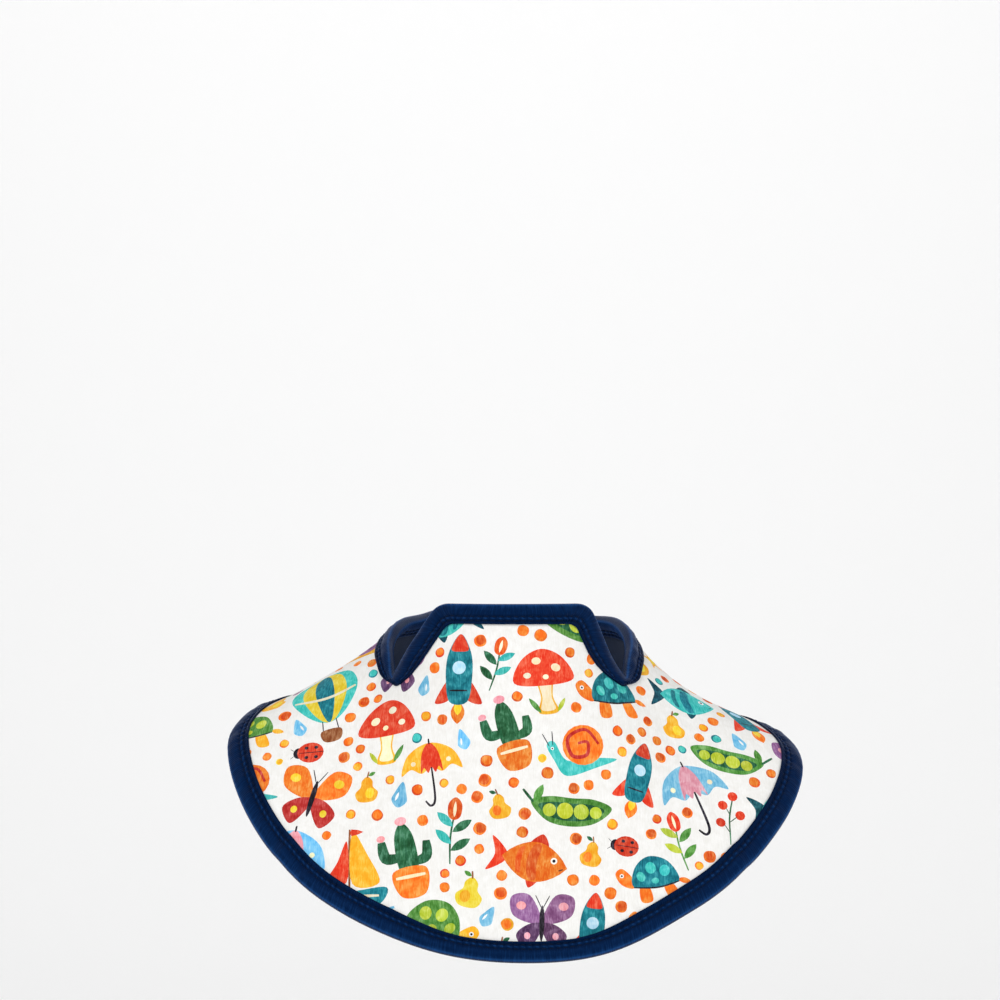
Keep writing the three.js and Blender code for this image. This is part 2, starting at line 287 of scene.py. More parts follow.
def flat_cut():
    """Unrolls the sheet: where each sampled point lies on the flat cloth, upright at the front."""
    guide_size = bib_angle(np.abs(column_steps), np.full(column_steps.shape, bib_rows / 2))
    guide_angle = np.sign(column_steps) * guide_size
    guide_curve = section_curve(guide_size)
    length = along_curve(guide_curve, np.zeros(guide_size.shape))[1]

    def point(offset):
        at = along_curve(guide_curve, length / 2 + offset)[0]
        return placed(guide_angle, at[:, 0], at[:, 1])

    guide = point(0)
    down = unit(point(0.001) - point(-0.001))
    run = unit(np.gradient(guide, axis=0))
    up = np.cross(unit(np.cross(down, run)), run)
    steps = np.linalg.norm(np.diff(guide, axis=0), axis=-1)
    mid_up = (up[1:] + up[:-1]) / 2
    bends = ((run[1:] - run[:-1]) * mid_up).sum(-1)
    heading = np.concatenate([[0], np.cumsum(bends)])
    centre = len(column_steps) // 2
    heading -= heading[centre]
    mid_heading = (heading[1:] + heading[:-1]) / 2
    places = np.stack([steps * np.cos(mid_heading), steps * np.sin(mid_heading)], -1)
    places = np.concatenate([[[0, 0]], np.cumsum(places, 0)])
    places -= places[centre]
    side = (run * down).sum(-1)
    rise = (up * down).sum(-1)
    ways = np.stack([side * np.cos(heading) - rise * np.sin(heading),
                     side * np.sin(heading) + rise * np.cos(heading)], -1)
    return guide_angle, places, ways, length


guide_angle, guide_places, guide_ways, guide_length = flat_cut()


def on_flat(angle, below):
    """The flat place of a point at an angle, a length below the neckline."""
    def at(values):
        return np.interp(angle, guide_angle, values)
    offset = below - at(guide_length) / 2
    return np.stack([at(guide_places[:, k]) + at(guide_ways[:, k]) * offset for k in (0, 1)], -1)


flap_fine = np.linspace(0, 1, 9)
heights = flap_heights[..., None] * flap_fine
radii = flap_radius(flap_sizes[..., None], heights)
flap_run = np.hypot(np.diff(radii, axis=-1), np.diff(heights, axis=-1)).sum(-1)
bib_flat = on_flat(bib_angles, along)
flap_rise = ease(flap_heights / 0.02)
flap_foot = on_flat(flap_angles, np.zeros(flap_angles.shape))
flap_arc = np.radians(flap_angles) * flap_radius(flap_sizes, flap_heights)
flap_middle = on_flat(np.zeros(1), np.zeros(1))[0, 1]
flap_flat = np.stack([
    flap_foot[..., 0] * (1 - flap_rise) + flap_arc * flap_rise,
    flap_foot[..., 1] * (1 - flap_rise) + flap_middle * flap_rise + flap_run,
], -1)


def relaxed(places, spots, ties, corners, rounds):
    """Moves flat places until tied points lie as far apart as they do on the worn sheet.
    Small triangles of the net are kept open, so that the cut never folds over itself."""
    count = len(places)
    true = np.linalg.norm(spots[ties[:, 0]] - spots[ties[:, 1]], axis=-1)
    share = 1.6 / np.bincount(ties.ravel(), minlength=count)[:, None]
    p, q, r = (spots[corners[:, k]] for k in range(3))
    least = 0.35 * np.linalg.norm(np.cross(q - p, r - p), axis=-1)
    way = np.sign(doubled_area(*(places[corners[:, k]] for k in range(3))))
    for _ in range(rounds):
        gap = places[ties[:, 1]] - places[ties[:, 0]]
        length = np.linalg.norm(gap, axis=-1)
        pull = gap * ((length - true) / length / 2)[:, None]
        pulls = [np.bincount(ties[:, 0], pull[:, k], count) - np.bincount(ties[:, 1], pull[:, k], count)
                 for k in (0, 1)]
        places = places + np.stack(pulls, -1) * share
        p, q, r = (places[corners[:, k]] for k in range(3))
        lack = least - doubled_area(p, q, r) * way
        low = np.flatnonzero(lack > 0)
        slopes = [np.stack([v[low, 1] - w[low, 1], w[low, 0] - v[low, 0]], -1)
                  for v, w in ((q, r), (r, p), (p, q))]
        step = (lack * way)[low] / sum((slope ** 2).sum(-1) for slope in slopes)
        for k, slope in enumerate(slopes):
            np.add.at(places, corners[low, k], slope * step[:, None] / 2)
    return places


def ties_of(grid):
    """Pairs of neighbouring points in a grid of numbers, with both diagonals."""
    pairs = [(grid[1:], grid[:-1]), (grid[:, 1:], grid[:, :-1]),
             (grid[1:, 1:], grid[:-1, :-1]), (grid[1:, :-1], grid[:-1, 1:])]
    return np.concatenate([np.stack([a.ravel(), b.ravel()], -1) for a, b in pairs])


def triangles_of(grid):
    """The four triangles that can be cut from each square of a grid of numbers."""
    a, b, c, d = grid[:-1, :-1], grid[1:, :-1], grid[1:, 1:], grid[:-1, 1:]
    return np.concatenate([np.stack([k.ravel() for k in three], -1)
                           for three in ((a, b, c), (a, c, d), (a, b, d), (b, c, d))])


def relax_cut(bib_places, flap_places, stride, rounds):
    """One round of easing on every stride-th point. The flap and the bib share the notch row."""
    bib_part = bib_places[::stride, ::stride]
    flap_part = flap_places[::stride, ::stride]
    bib_grid = np.arange(bib_part[..., 0].size).reshape(bib_part.shape[:2])
    flap_grid = np.zeros(flap_part.shape[:2], int)
    half = flap_part.shape[0] // 2
    centre = bib_part.shape[0] // 2
    flap_grid[:, 0] = bib_grid[centre - half:centre + half + 1, 0]
    flap_grid[:, 1:] = bib_grid.size + np.arange(flap_grid[:, 1:].size).reshape(flap_grid[:, 1:].shape)
    places = np.concatenate([bib_part.reshape(-1, 2), flap_part[:, 1:].reshape(-1, 2)])
    spots = np.concatenate([bib_base[::stride, ::stride].reshape(-1, 3),
                            flap_base[::stride, ::stride][:, 1:].reshape(-1, 3)])
    ties = np.concatenate([ties_of(bib_grid), ties_of(flap_grid)])
    corners = np.concatenate([triangles_of(bib_grid), triangles_of(flap_grid)])
    eased = relaxed(places, spots, ties, corners, rounds)
    return eased[bib_grid] - bib_part, eased[flap_grid] - flap_part


def spread_out(moves, stride):
    """Values on every stride-th point carried to all the points between."""
    for axis in (0, 1):
        count = moves.shape[axis]
        fine_steps = np.arange((count - 1) * stride + 1) / stride
        low = np.minimum(fine_steps.astype(int), count - 2)
        share = (fine_steps - low).reshape([-1 if k == axis else 1 for k in range(3)])
        moves = np.take(moves, low, axis) * (1 - share) + np.take(moves, low + 1, axis) * share
    return moves


for stride, rounds in ((4, 900), (2, 300), (1, 120)):
    bib_moves, flap_moves = relax_cut(bib_flat, flap_flat, stride, rounds)
    bib_flat = bib_flat + spread_out(bib_moves, stride)
    flap_flat = flap_flat + spread_out(flap_moves, stride)


def soft_swell(flat):
    """Gentle unevenness of padded cloth, the same for every layer that is sewn together."""
    waves = [(38, 0.4, 0.00022), (61, 2.1, 0.00016), (95, 1.2, 0.00010), (120, 2.7, 0.00007)]
    swell = 0
    for number, (pitch, heading, height) in enumerate(waves):
        across = flat[..., 0] * math.cos(heading) + flat[..., 1] * math.sin(heading)
        swell = swell + height * np.sin(across * pitch * 2 + number * 1.7) * np.cos(flat[..., 1] * pitch)
    return swell


bib_middle = bib_base + bib_facing * (bib_lift + soft_swell(bib_flat))[..., None]
flap_centre = flap_base + flap_facing * soft_swell(flap_flat)[..., None]
bib_samples = np.concatenate([bib_middle, bib_facing, bib_flat], -1)
flap_samples = np.concatenate([flap_centre, flap_facing, flap_flat], -1)


def sampled(samples, across, down):
    """Values between the samples, at fractional places."""
    i = np.clip(np.floor(across).astype(int), 0, samples.shape[0] - 2)
    j = np.clip(np.floor(down).astype(int), 0, samples.shape[1] - 2)
    s = (across - i)[..., None]
    t = (down - j)[..., None]
    upper = samples[i, j] * (1 - s) + samples[i + 1, j] * s
    lower = samples[i, j + 1] * (1 - s) + samples[i + 1, j + 1] * s
    return upper * (1 - t) + lower * t


def on_sheet(column, row):
    """The sheet's middle, its facing and its flat place. Rows above the notches are negative."""
    bib = sampled(bib_samples, (column + last_column) * fine, np.maximum(row, 0) * fine)
    flap = sampled(flap_samples, (column + flap_edge) * fine, np.maximum(-row, 0) * fine)
    both = np.where((row < 0)[..., None], flap, bib)
    return both[..., :3], both[..., 3:6], both[..., 6:]


# The edge of the sheet, followed once round: the flap's top and side, the notch, the neckline,
# the wing's end and the hem. Each station pairs a point on the edge with one under the tape's
# inner rim, both in columns and rows.
def corner_path(start, corner, end, turn, points=9):
    """A round corner from start to end, tangent to the lines that meet at the corner."""
    weight = math.cos(turn / 2)
    path = []
    for t in np.linspace(0, 1, points):
        parts = [(1 - t) ** 2, 2 * (1 - t) * t * weight, t * t]
        place = sum(p * np.array(q, float) for p, q in zip(parts, (start, corner, end)))
        path.append(place / sum(parts))
    return path


def hem_rim(column):
    """The row under the tape's inner rim along the hem. The tape covers a little more at the sides."""
    angle = float(bib_angle(np.array(column), np.array(float(bib_rows))))
    wider = 0.0027 * ease((angle - 16) / 22) * (1 - ease((angle - 92) / 30))
    rows = np.array([bib_rows - 1.0, bib_rows - 2.0])
    spots = on_sheet(np.full(2, float(column)), rows)[0]
    return bib_rows - 1 - float(wider) / np.linalg.norm(spots[1] - spots[0])


def half_round():
    """Stations from the middle of the flap's top edge to the middle of the hem."""
    end, low, wide, top = last_column, bib_rows, flap_edge, -flap_rows
    right = math.pi / 2
    rim, soft = wide - 2, 0.6
    before, after = (rim - soft, top + 2), (rim, top + 2 + soft * 0.8)
    legs = [
        ([(0, top), (rim - soft, top)], [(0, top + 2), before]),
        ([(rim - soft, top), (wide - 1, top)], [before, before]),
        (corner_path((wide - 1, top), (wide, top), (wide, top + 1), corner_turn),
         corner_path(before, (rim, top + 2), after, corner_turn)),
        ([(wide, top + 1), (wide, after[1])], [after, after]),
        ([(wide, after[1]), (wide, -2)], [after, (rim, -2)]),
        ([(wide, -2), (wide, -0.6)], [(rim, -2), (rim + 0.15, -1.1), (rim + 0.42, -0.6)]),
        ([(wide, -0.6), (wide, 0)], [(rim + 0.42, -0.6), (rim + 0.7, -0.32), (rim + 1.0, -0.12)]),
        ([(wide, 0)] * 2, [(rim + 1.0, -0.12), (rim + 1.4, 0.25), (rim + 1.75, 0.66),
                           (wide + 0.05, 0.92), (wide + 0.4, 1)]),
        ([(wide, 0), (end - 1, 0)], [(wide + 0.4, 1), (end - 1, 1)]),
        (corner_path((end - 1, 0), (end, 0), (end, 1), right), [(end - 1, 1)] * 2),
        ([(end, 1), (end, low - 1)], [(end - 1, 1), (end - 1, low - 1)]),
        (corner_path((end, low - 1), (end, low), (end - 1, low), right), [(end - 1, low - 1)] * 2),
        ([(end - 1, low), (0, low)],
         [(column, hem_rim(column)) for column in np.linspace(end - 1, 0, 49)]),
    ]

    def along_leg(points, shares):
        points = np.array(points, float)
        marks = np.linspace(0, 1, len(points))
        return np.stack([np.interp(shares, marks, points[:, k]) for k in (0, 1)], -1)

    tries = np.linspace(0, 1, 400)
    stations = []
    for outer, inner in legs:
        lengths = []
        for points in (outer, inner):
            path = along_leg(points, tries)
            gaps = np.diff(on_sheet(path[:, 0], path[:, 1])[0], axis=0)
            lengths.append(np.concatenate([[0], np.linalg.norm(gaps, axis=-1).cumsum()]))
        run = np.maximum(lengths[0], lengths[1]) if lengths[0][-1] else lengths[1]
        steps = max(2, int(round(run[-1] / station_gap)))
        shares = np.interp(np.linspace(0, run[-1], steps, endpoint=False), run, tries)
        stations.append(np.concatenate([along_leg(outer, shares), along_leg(inner, shares)], -1))
    return np.concatenate(stations)


station_gap = 0.00066
right_half = half_round()
left_half = right_half[::-1] * [-1, 1, -1, 1]
hem_middle = np.array([[0, bib_rows, 0, bib_rows - 1]], float)
stations = np.concatenate([right_half, hem_middle, left_half[:-1]])


def across_tape(share):
    """Points under the tape at a share from the sheet's edge to the tape's inner rim."""
    place = stations[:, :2] * (1 - share) + stations[:, 2:] * share
    return on_sheet(place[:, 0], place[:, 1])


edge_points, edge_facing, edge_flat = across_tape(0.0)

# The printed cover: white woven cloth over the shielding sheet, printed all over with small
# painted pictures. Pictures are laid out on the flat cut, then the cut is formed to the wearer.
ink_colors = {
    "ground": "f1f0ed", "amber": "fbb834", "orange": "f5842e", "rust": "df6228", "red": "e2492e",
    "crimson": "c23a36", "teal": "1e7f8c", "deep_teal": "155261", "turquoise": "48c3bd",
    "mauve": "9a6b99", "plum": "6b4a70", "sky": "7cc3e8", "pale_sky": "b9def0", "pink": "f3a8b2",
    "lime": "c2d148", "green": "5f9a47", "forest": "2f6a47", "yellow": "f8d942",
    "cream": "fdf0cd", "white": "fcfbf7", "ink": "2b2631", "brown": "a0633d",
}


def linear(code):
    parts = [int(code[k:k + 2], 16) / 255 for k in (0, 2, 4)]
    return [c / 12.92 if c <= 0.04045 else ((c + 0.055) / 1.055) ** 2.4 for c in parts]


def oval(x, y, wide, tall, lean=0, points=18):
    turn = np.linspace(0, 2 * math.pi, points, endpoint=False)
    px = wide * np.cos(turn)
    py = tall * np.sin(turn)
    c, s = math.cos(math.radians(lean)), math.sin(math.radians(lean))
    return np.stack([x + px * c - py * s, y + px * s + py * c], -1)


def soft_bend(a, b, c, d, steps):
    """A smooth way from b towards c, with a before it and d after it."""
    t = np.arange(steps)[:, None] / steps
    return b + 0.5 * t * ((c - a) + t * ((2 * a - 5 * b + 4 * c - d) + t * (3 * b - a - 3 * c + d)))


def blob(*corners, steps=6):
    """A closed soft outline through a few points."""
    p = np.array(corners, float)
    return np.concatenate([soft_bend(*(p[(k + m) % len(p)] for m in (-1, 0, 1, 2)), steps)
                           for k in range(len(p))])


def leaf(x, y, tip_x, tip_y, width, points=8):
    """A pointed oval from its foot to its tip."""
    foot = np.array([x, y], float)
    way = np.array([tip_x, tip_y], float) - foot
    side = np.array([-way[1], way[0]]) / np.linalg.norm(way) * width / 2
    t = np.linspace(0, 1, points)[:, None]
    bulge = np.sin(math.pi * t) ** 0.8
    return np.concatenate([foot + way * t + side * bulge, (foot + way * t - side * bulge)[-2:0:-1]])


def stroke(*points, width=0.03, steps=6):
    """A brush line through a few points, a little narrower at its ends."""
    p = np.array([points[0], *points, points[-1]], float)
    line = np.concatenate([*(soft_bend(*p[k - 1:k + 3], steps) for k in range(1, len(p) - 2)), p[-1:]])
    run = np.gradient(line, axis=0)
    side = unit(np.stack([-run[:, 1], run[:, 0]], -1))
    thick = width / 2 * (0.45 + 0.55 * np.sin(math.pi * np.linspace(0.12, 0.88, len(line))))[:, None]
    return np.concatenate([line + side * thick, (line - side * thick)[::-1]])


def squeezed(outline, wide):
    return outline * [wide, 1]


def eye(x, y, size=0.035):
    return [("white", oval(x, y, size, size, points=10)),
            ("ink", oval(x, y, size * 0.5, size * 0.5, points=8))]


def hot_air_balloon(skin, stripe, core, basket="brown"):
    envelope = blob((0, .5), (.27, .41), (.36, .17), (.25, -.08), (.08, -.25), (-.08, -.25),
                    (-.25, -.08), (-.36, .17), (-.27, .41))
    return [(skin, envelope), (stripe, squeezed(envelope, .66)), (core, squeezed(envelope, .28)),
            ("ink", stroke((-.07, -.24), (-.08, -.38), width=.012)),
            ("ink", stroke((.07, -.24), (.08, -.38), width=.012)),
            ("cream", stroke((-.33, .12), (0, .06), (.33, .12), width=.035)),
            (basket, blob((-.1, -.37), (.1, -.37), (.08, -.5), (-.08, -.5), steps=5))]


def fish(body, fin, band):
    shape = leaf(-.34, 0, .48, 0, .5, points=12)
    return [(fin, blob((-.26, 0), (-.5, .22), (-.43, 0), (-.5, -.22))),
            (fin, blob((-.05, .18), (.1, .36), (.2, .2))),
            (fin, blob((0, -.18), (.06, -.33), (.16, -.2))),
            (body, shape),
            (band, blob((.02, .2), (.12, .21), (.1, 0), (.12, -.21), (.02, -.2), (-.03, 0))),
            (band, blob((-.14, .14), (-.08, .16), (-.1, 0), (-.08, -.16), (-.14, -.14), (-.17, 0))),
            ("ink", stroke((.38, -.05), (.43, -.02), width=.014)), *eye(.3, .06, .042)]


def sailing_boat(hull, sail, jib):
    return [("brown", stroke((0, -.22), (0, .5), width=.03)),
            (sail, blob((.03, .46), (.2, .2), (.34, -.14), (.03, -.14))),
            (jib, blob((-.03, .36), (-.14, .12), (-.27, -.12), (-.03, -.12))),
            (hull, blob((-.42, -.2), (0, -.23), (.42, -.2), (.28, -.42), (-.26, -.42))),
            ("cream", stroke((-.33, -.29), (.33, -.29), width=.035)),
            ("sky", stroke((-.5, -.46), (-.3, -.42), (-.1, -.47), (.1, -.42), (.3, -.47), (.5, -.43),
                           width=.045)),
            ("red", blob((.02, .5), (.16, .46), (.02, .42), steps=2))]


def turtle(shell, patch, skin):
    dome = blob((-.3, -.08), (-.2, .2), (.05, .3), (.26, .17), (.32, -.08), (0, -.13))
    return [(skin, blob((.28, -.02), (.42, .18), (.53, .13), (.48, -.02), (.34, -.1))),
            (skin, blob((-.2, -.1), (-.28, -.3), (-.13, -.3), (-.08, -.1))),
            (skin, blob((.12, -.1), (.1, -.3), (.25, -.3), (.24, -.1))),
            (skin, leaf(-.28, -.06, -.46, -.12, .08)), (shell, dome),
            (patch, oval(-.13, .08, .07, .08, 20)), (patch, oval(.05, .14, .07, .08)),
            (patch, oval(.2, .04, .055, .07, -20)), (patch, oval(.02, -.04, .05, .04)),
            ("ink", stroke((-.3, -.09), (0, -.135), (.32, -.09), width=.022)), *eye(.45, .09, .028)]


def snail(shell, curl, body):
    return [(body, blob((-.42, -.3), (-.1, -.34), (.3, -.34), (.4, -.1), (.44, .12), (.33, .14),
                        (.24, -.14), (-.1, -.2))),
            ("ink", stroke((.36, .1), (.32, .28), width=.014)),
            ("ink", stroke((.41, .1), (.45, .28), width=.014)), (shell, oval(-.03, .0, .28, .27)),
            (curl, stroke((-.24, -.04), (-.12, .19), (.14, .14), (.15, -.1), (-.04, -.14), (-.1, .02),
                          (.03, .04), width=.05)),
            *eye(.38, .06, .022)]


def butterfly(upper, lower, spot):
    parts = []
    for s in (-1, 1):
        parts += [(upper, blob((0, .02), (.18 * s, .38), (.44 * s, .36), (.42 * s, .1), (.16 * s, -.02))),
                  (lower, blob((0, -.02), (.2 * s, -.04), (.36 * s, -.2), (.2 * s, -.4), (.04 * s, -.2))),
                  (spot, oval(.3 * s, .23, .07, .06)), (spot, oval(.2 * s, -.2, .045, .05)),
                  ("ink", stroke((.01 * s, .2), (.1 * s, .38), width=.014))]
    trunk = blob((0, .24), (.035, .1), (.03, -.16), (0, -.28), (-.03, -.16), (-.035, .1))
    return parts + [("ink", trunk)]


def mushroom(cap, dot, stem="cream"):
    return [("amber", blob((-.1, .02), (-.08, -.25), (-.13, -.46), (.13, -.46), (.08, -.25), (.1, .02))),
            (stem, blob((-.08, .02), (-.06, -.25), (-.09, -.42), (.09, -.42), (.06, -.25), (.08, .02))),
            (cap, blob((-.4, -.02), (-.28, .28), (0, .42), (.28, .28), (.4, -.02), (0, -.09))),
            (dot, oval(-.17, .15, .065, .055, 25)), (dot, oval(.08, .26, .06, .05)),
            (dot, oval(.22, .07, .05, .04)), (dot, oval(-.02, .03, .04, .035)),
            ("green", leaf(.1, -.46, .24, -.24, .07)),
            ("lime", leaf(-.12, -.46, -.24, -.28, .06))]


def umbrella(canopy, panel, handle="ink"):
    dome = blob((-.45, .03), (-.33, .32), (0, .46), (.33, .32), (.45, .03), (.3, .1), (.15, .02), (0, .1),
                (-.15, .02), (-.3, .1))
    return [(handle, stroke((0, .1), (0, -.36), (.07, -.46), (.14, -.38), width=.035)), (canopy, dome),
            (panel, squeezed(dome, .36)), ("ink", stroke((0, .44), (0, .52), width=.025)),
            *[("cream", oval(x, .18, .035, .035, points=10)) for x in (-.26, .26)]]


def whale(body, belly, spout):
    return [(spout, stroke((-.14, .18), (-.2, .38), (-.32, .36), width=.035)),
            (spout, stroke((-.14, .18), (-.08, .38), (.04, .37), width=.035)),
            (body, blob((-.46, -.02), (-.36, .17), (-.1, .2), (.15, .1), (.32, .06), (.38, .22), (.5, .28),
                        (.44, .06), (.34, -.08), (.15, -.24), (-.2, -.26), (-.4, -.17))),
            (belly, blob((-.43, -.08), (-.2, -.12), (.05, -.14), (.14, -.21), (-.18, -.245), (-.38, -.17))),
            ("ink", stroke((-.42, -.07), (-.3, -.1), (-.2, -.08), width=.014)), *eye(-.24, .04, .028)]


def cactus(plant, pot, bloom):
    return [(plant, blob((-.1, -.2), (-.11, .2), (0, .38), (.11, .2), (.1, -.2))),
            (plant, stroke((-.08, -.02), (-.24, 0), (-.26, .2), width=.13)),
            (plant, stroke((.08, -.1), (.22, -.06), (.25, .12), width=.12)),
            ("forest", stroke((0, -.15), (0, .28), width=.016)),
            *[("forest", stroke((.05 * s, -.15), (.055 * s, .2), width=.012)) for s in (-1, 1)],
            (bloom, oval(0, .4, .07, .05)), (bloom, oval(-.26, .24, .05, .04)),
            (pot, blob((-.19, -.18), (.19, -.18), (.14, -.48), (-.14, -.48), steps=7)),
            ("cream", stroke((-.17, -.26), (.17, -.26), width=.04))]


def rocket(body, fin, flame):
    return [(flame, leaf(0, -.26, 0, -.52, .16)), ("yellow", leaf(0, -.26, 0, -.42, .09)),
            *[(fin, blob((.12 * s, -.02), (.27 * s, -.28), (.1 * s, -.24))) for s in (-1, 1)],
            (body, blob((0, .5), (.13, .28), (.15, 0), (.1, -.27), (-.1, -.27), (-.15, 0), (-.13, .28))),
            (fin, blob((0, .5), (.1, .33), (0, .3), (-.1, .33))), ("pale_sky", oval(0, .12, .075, .075)),
            ("ink", stroke((-.1, -.14), (.1, -.14), width=.02))]


def pea_pod(pod, pea):
    shell = blob((-.5, .02), (-.3, -.17), (0, -.23), (.3, -.17), (.5, .06), (.28, .13), (0, .12),
                 (-.28, .12))
    peas = [(pea, oval(x, -.04, size, size))
            for x, size in ((-.3, .075), (-.12, .095), (.08, .1), (.27, .08))]
    return [(pod, shell), ("forest", squeezed(shell * [1, .62] + [0, -.02], .82)), *peas,
            (pod, leaf(.46, .04, .36, .27, .1)), ("forest", stroke((.47, .05), (.6, .2), width=.035))]


def ladybird(shell, head="ink"):
    return [(head, oval(.3, 0, .13, .15)), (shell, oval(0, 0, .33, .28)),
            (head, stroke((-.33, 0), (.28, 0), width=.02)),
            *[(head, oval(x, y, .05, .045, points=10)) for x in (-.14, .1) for y in (-.13, .13)],
            *[("ink", stroke((.4, .06 * s), (.5, .14 * s), width=.014)) for s in (1, -1)]]


def painted_sun(disc, ray):
    rays = [leaf(.27 * math.cos(a), .27 * math.sin(a), .5 * math.cos(a), .5 * math.sin(a), .11)
            for a in np.linspace(0, 2 * math.pi, 11, endpoint=False)]
    return [*[(ray, part) for part in rays], (disc, oval(0, 0, .26, .26)),
            ("orange", oval(.05, -.04, .16, .15)), (disc, oval(.03, -.01, .16, .15))]


def kite(left, right, tail):
    return [(tail, stroke((0, -.14), (.1, -.28), (-.04, -.36), (.06, -.5), width=.02)),
            (left, np.array([(0, .46), (0, -.16), (-.26, .18)])),
            (right, np.array([(0, .46), (.26, .18), (0, -.16)])),
            ("red", blob((.06, -.25), (.15, -.2), (.14, -.33), steps=2)),
            ("amber", blob((-.02, -.37), (-.11, -.33), (-.1, -.44), steps=2))]


def daisy(petal, heart, stem):
    petals = [leaf(0, .18, .27 * math.cos(a), .18 + .27 * math.sin(a), .15)
              for a in np.linspace(0.3, 6.58, 7)[:-1]]
    return [(stem, stroke((0, .1), (.03, -.2), (-.02, -.5), width=.035)),
            (stem, leaf(.01, -.3, .22, -.16, .1)),
            *[(petal, part) for part in petals], (heart, oval(0, .18, .085, .085))]


def berry_twig(berry, stem):
    return [(stem, stroke((0, -.5), (.04, 0), (0, .4), width=.03)),
            *[(berry, oval(x, y, .09, .09, points=12))
              for x, y in ((.17, .25), (-.15, .1), (.2, -.1), (0, .45))],
            *[(stem, stroke((.03, y - .12), (x * .6, y), width=.018))
              for x, y in ((.17, .2), (-.15, .06), (.2, -.14))]]


def pear(skin, cheek, stem):
    body = blob((0, .34), (.17, .2), (.2, 0), (.36, -.2), (.22, -.46), (-.22, -.46), (-.36, -.2),
                (-.2, 0), (-.17, .2))
    return [(skin, body), (cheek, oval(.1, -.2, .14, .17)),
            ("brown", stroke((0, .3), (.05, .5), width=.05)), (stem, leaf(.04, .36, .26, .46, .12))]


def sprig(stem, blade, bud):
    parts = [(stem, stroke((0, -.5), (.03, -.1), (0, .26), width=.03))]
    for side, y in ((-1, -.3), (1, -.2), (-1, -.02), (1, .06)):
        parts.append((blade if side > 0 else stem, leaf(.01, y, .26 * side, y + .2, .13)))
    return parts + [(bud, blob((0, .5), (.1, .4), (.09, .22), (0, .16), (-.09, .22), (-.1, .4))),
                    ("cream", leaf(0, .2, 0, .44, .05))]


def raindrop(drop, shine):
    return [(drop, blob((0, .45), (.2, .05), (.24, -.2), (0, -.4), (-.24, -.2), (-.2, .05))),
            (shine, leaf(-.12, -.2, -.06, .1, .08))]


def star(skin, inner):
    spikes = []
    for k in range(10):
        way = np.array([math.sin(k * math.pi / 5), math.cos(k * math.pi / 5)])
        spikes.append((.46 if k % 2 == 0 else .2) * way)
    outline = blob(*spikes, steps=3)
    return [(skin, outline), (inner, outline * .6)]


def pebble(rim, middle):
    outline = blob((.42, .05), (.3, .36), (-.05, .44), (-.38, .24), (-.42, -.12), (-.2, -.4),
                   (.16, -.42), (.38, -.24))
    return [(rim, outline), (middle, outline * .78 + [.05, .04])]


def speckles(color):
    spots = random.Random(len(color) * 7 + 3)
    return [(color, oval(spots.uniform(-.5, .5), spots.uniform(-.5, .5), spots.uniform(.025, .06),
                         spots.uniform(.02, .05), points=7)) for _ in range(16)]


# Each picture with its colours and its size across.
large_pictures = [
    (hot_air_balloon, ("red", "amber", "orange"), 0.044), (fish, ("turquoise", "deep_teal", "teal"), 0.036),
    (turtle, ("green", "lime", "amber"), 0.040), (sailing_boat, ("teal", "amber", "red"), 0.040),
    (snail, ("mauve", "plum", "amber"), 0.036), (butterfly, ("orange", "crimson", "yellow"), 0.034),
    (umbrella, ("sky", "pink"), 0.036), (whale, ("sky", "pale_sky", "turquoise"), 0.042),
    (rocket, ("teal", "red", "orange"), 0.040), (cactus, ("forest", "orange", "pink"), 0.038),
    (mushroom, ("red", "cream"), 0.032), (pea_pod, ("green", "lime"), 0.038),
    (hot_air_balloon, ("turquoise", "yellow", "teal"), 0.042), (fish, ("orange", "red", "rust"), 0.034),
    (snail, ("orange", "crimson", "turquoise"), 0.034), (butterfly, ("mauve", "plum", "pink"), 0.032),
    (umbrella, ("amber", "red"), 0.034), (turtle, ("teal", "turquoise", "orange"), 0.036),
]
middle_pictures = [
    (ladybird, ("red",), 0.017), (daisy, ("yellow", "orange", "green"), 0.030),
    (kite, ("amber", "teal", "ink"), 0.026), (painted_sun, ("yellow", "amber"), 0.022),
    (berry_twig, ("red", "forest"), 0.024), (star, ("amber", "yellow"), 0.014),
    (daisy, ("pink", "crimson", "lime"), 0.026), (berry_twig, ("orange", "teal"), 0.024),
    (raindrop, ("sky", "white"), 0.013), (mushroom, ("orange", "yellow"), 0.019),
]
fruit_pictures = [
    (pear, ("amber", "yellow", "green"), 0.0165), (sprig, ("green", "lime", "red"), 0.030),
    (pear, ("amber", "orange", "forest"), 0.0155), (sprig, ("forest", "turquoise", "rust"), 0.028),
    (pear, ("yellow", "amber", "green"), 0.0170), (sprig, ("teal", "green", "orange"), 0.027),
]
dot_pictures = [
    (pebble, ("orange", "rust"), 0.0062), (pebble, ("orange", "orange"), 0.0054),
    (pebble, ("rust", "orange"), 0.0058), (pebble, ("orange", "amber"), 0.0052),
    (pebble, ("orange", "rust"), 0.0066), (pebble, ("orange", "orange"), 0.0060),
]
small_pictures = [
    (star, ("yellow", "amber"), 0.008), (pebble, ("amber", "orange"), 0.006),
    (raindrop, ("turquoise", "white"), 0.008), (speckles, ("amber",), 0.012),
    (pebble, ("teal", "turquoise"), 0.005), (speckles, ("orange",), 0.011),
    (pebble, ("red", "orange"), 0.005), (star, ("sky", "pale_sky"), 0.007),
    (speckles, ("lime",), 0.010), (raindrop, ("mauve", "pink"), 0.007),
    (pebble, ("yellow", "amber"), 0.004),
]


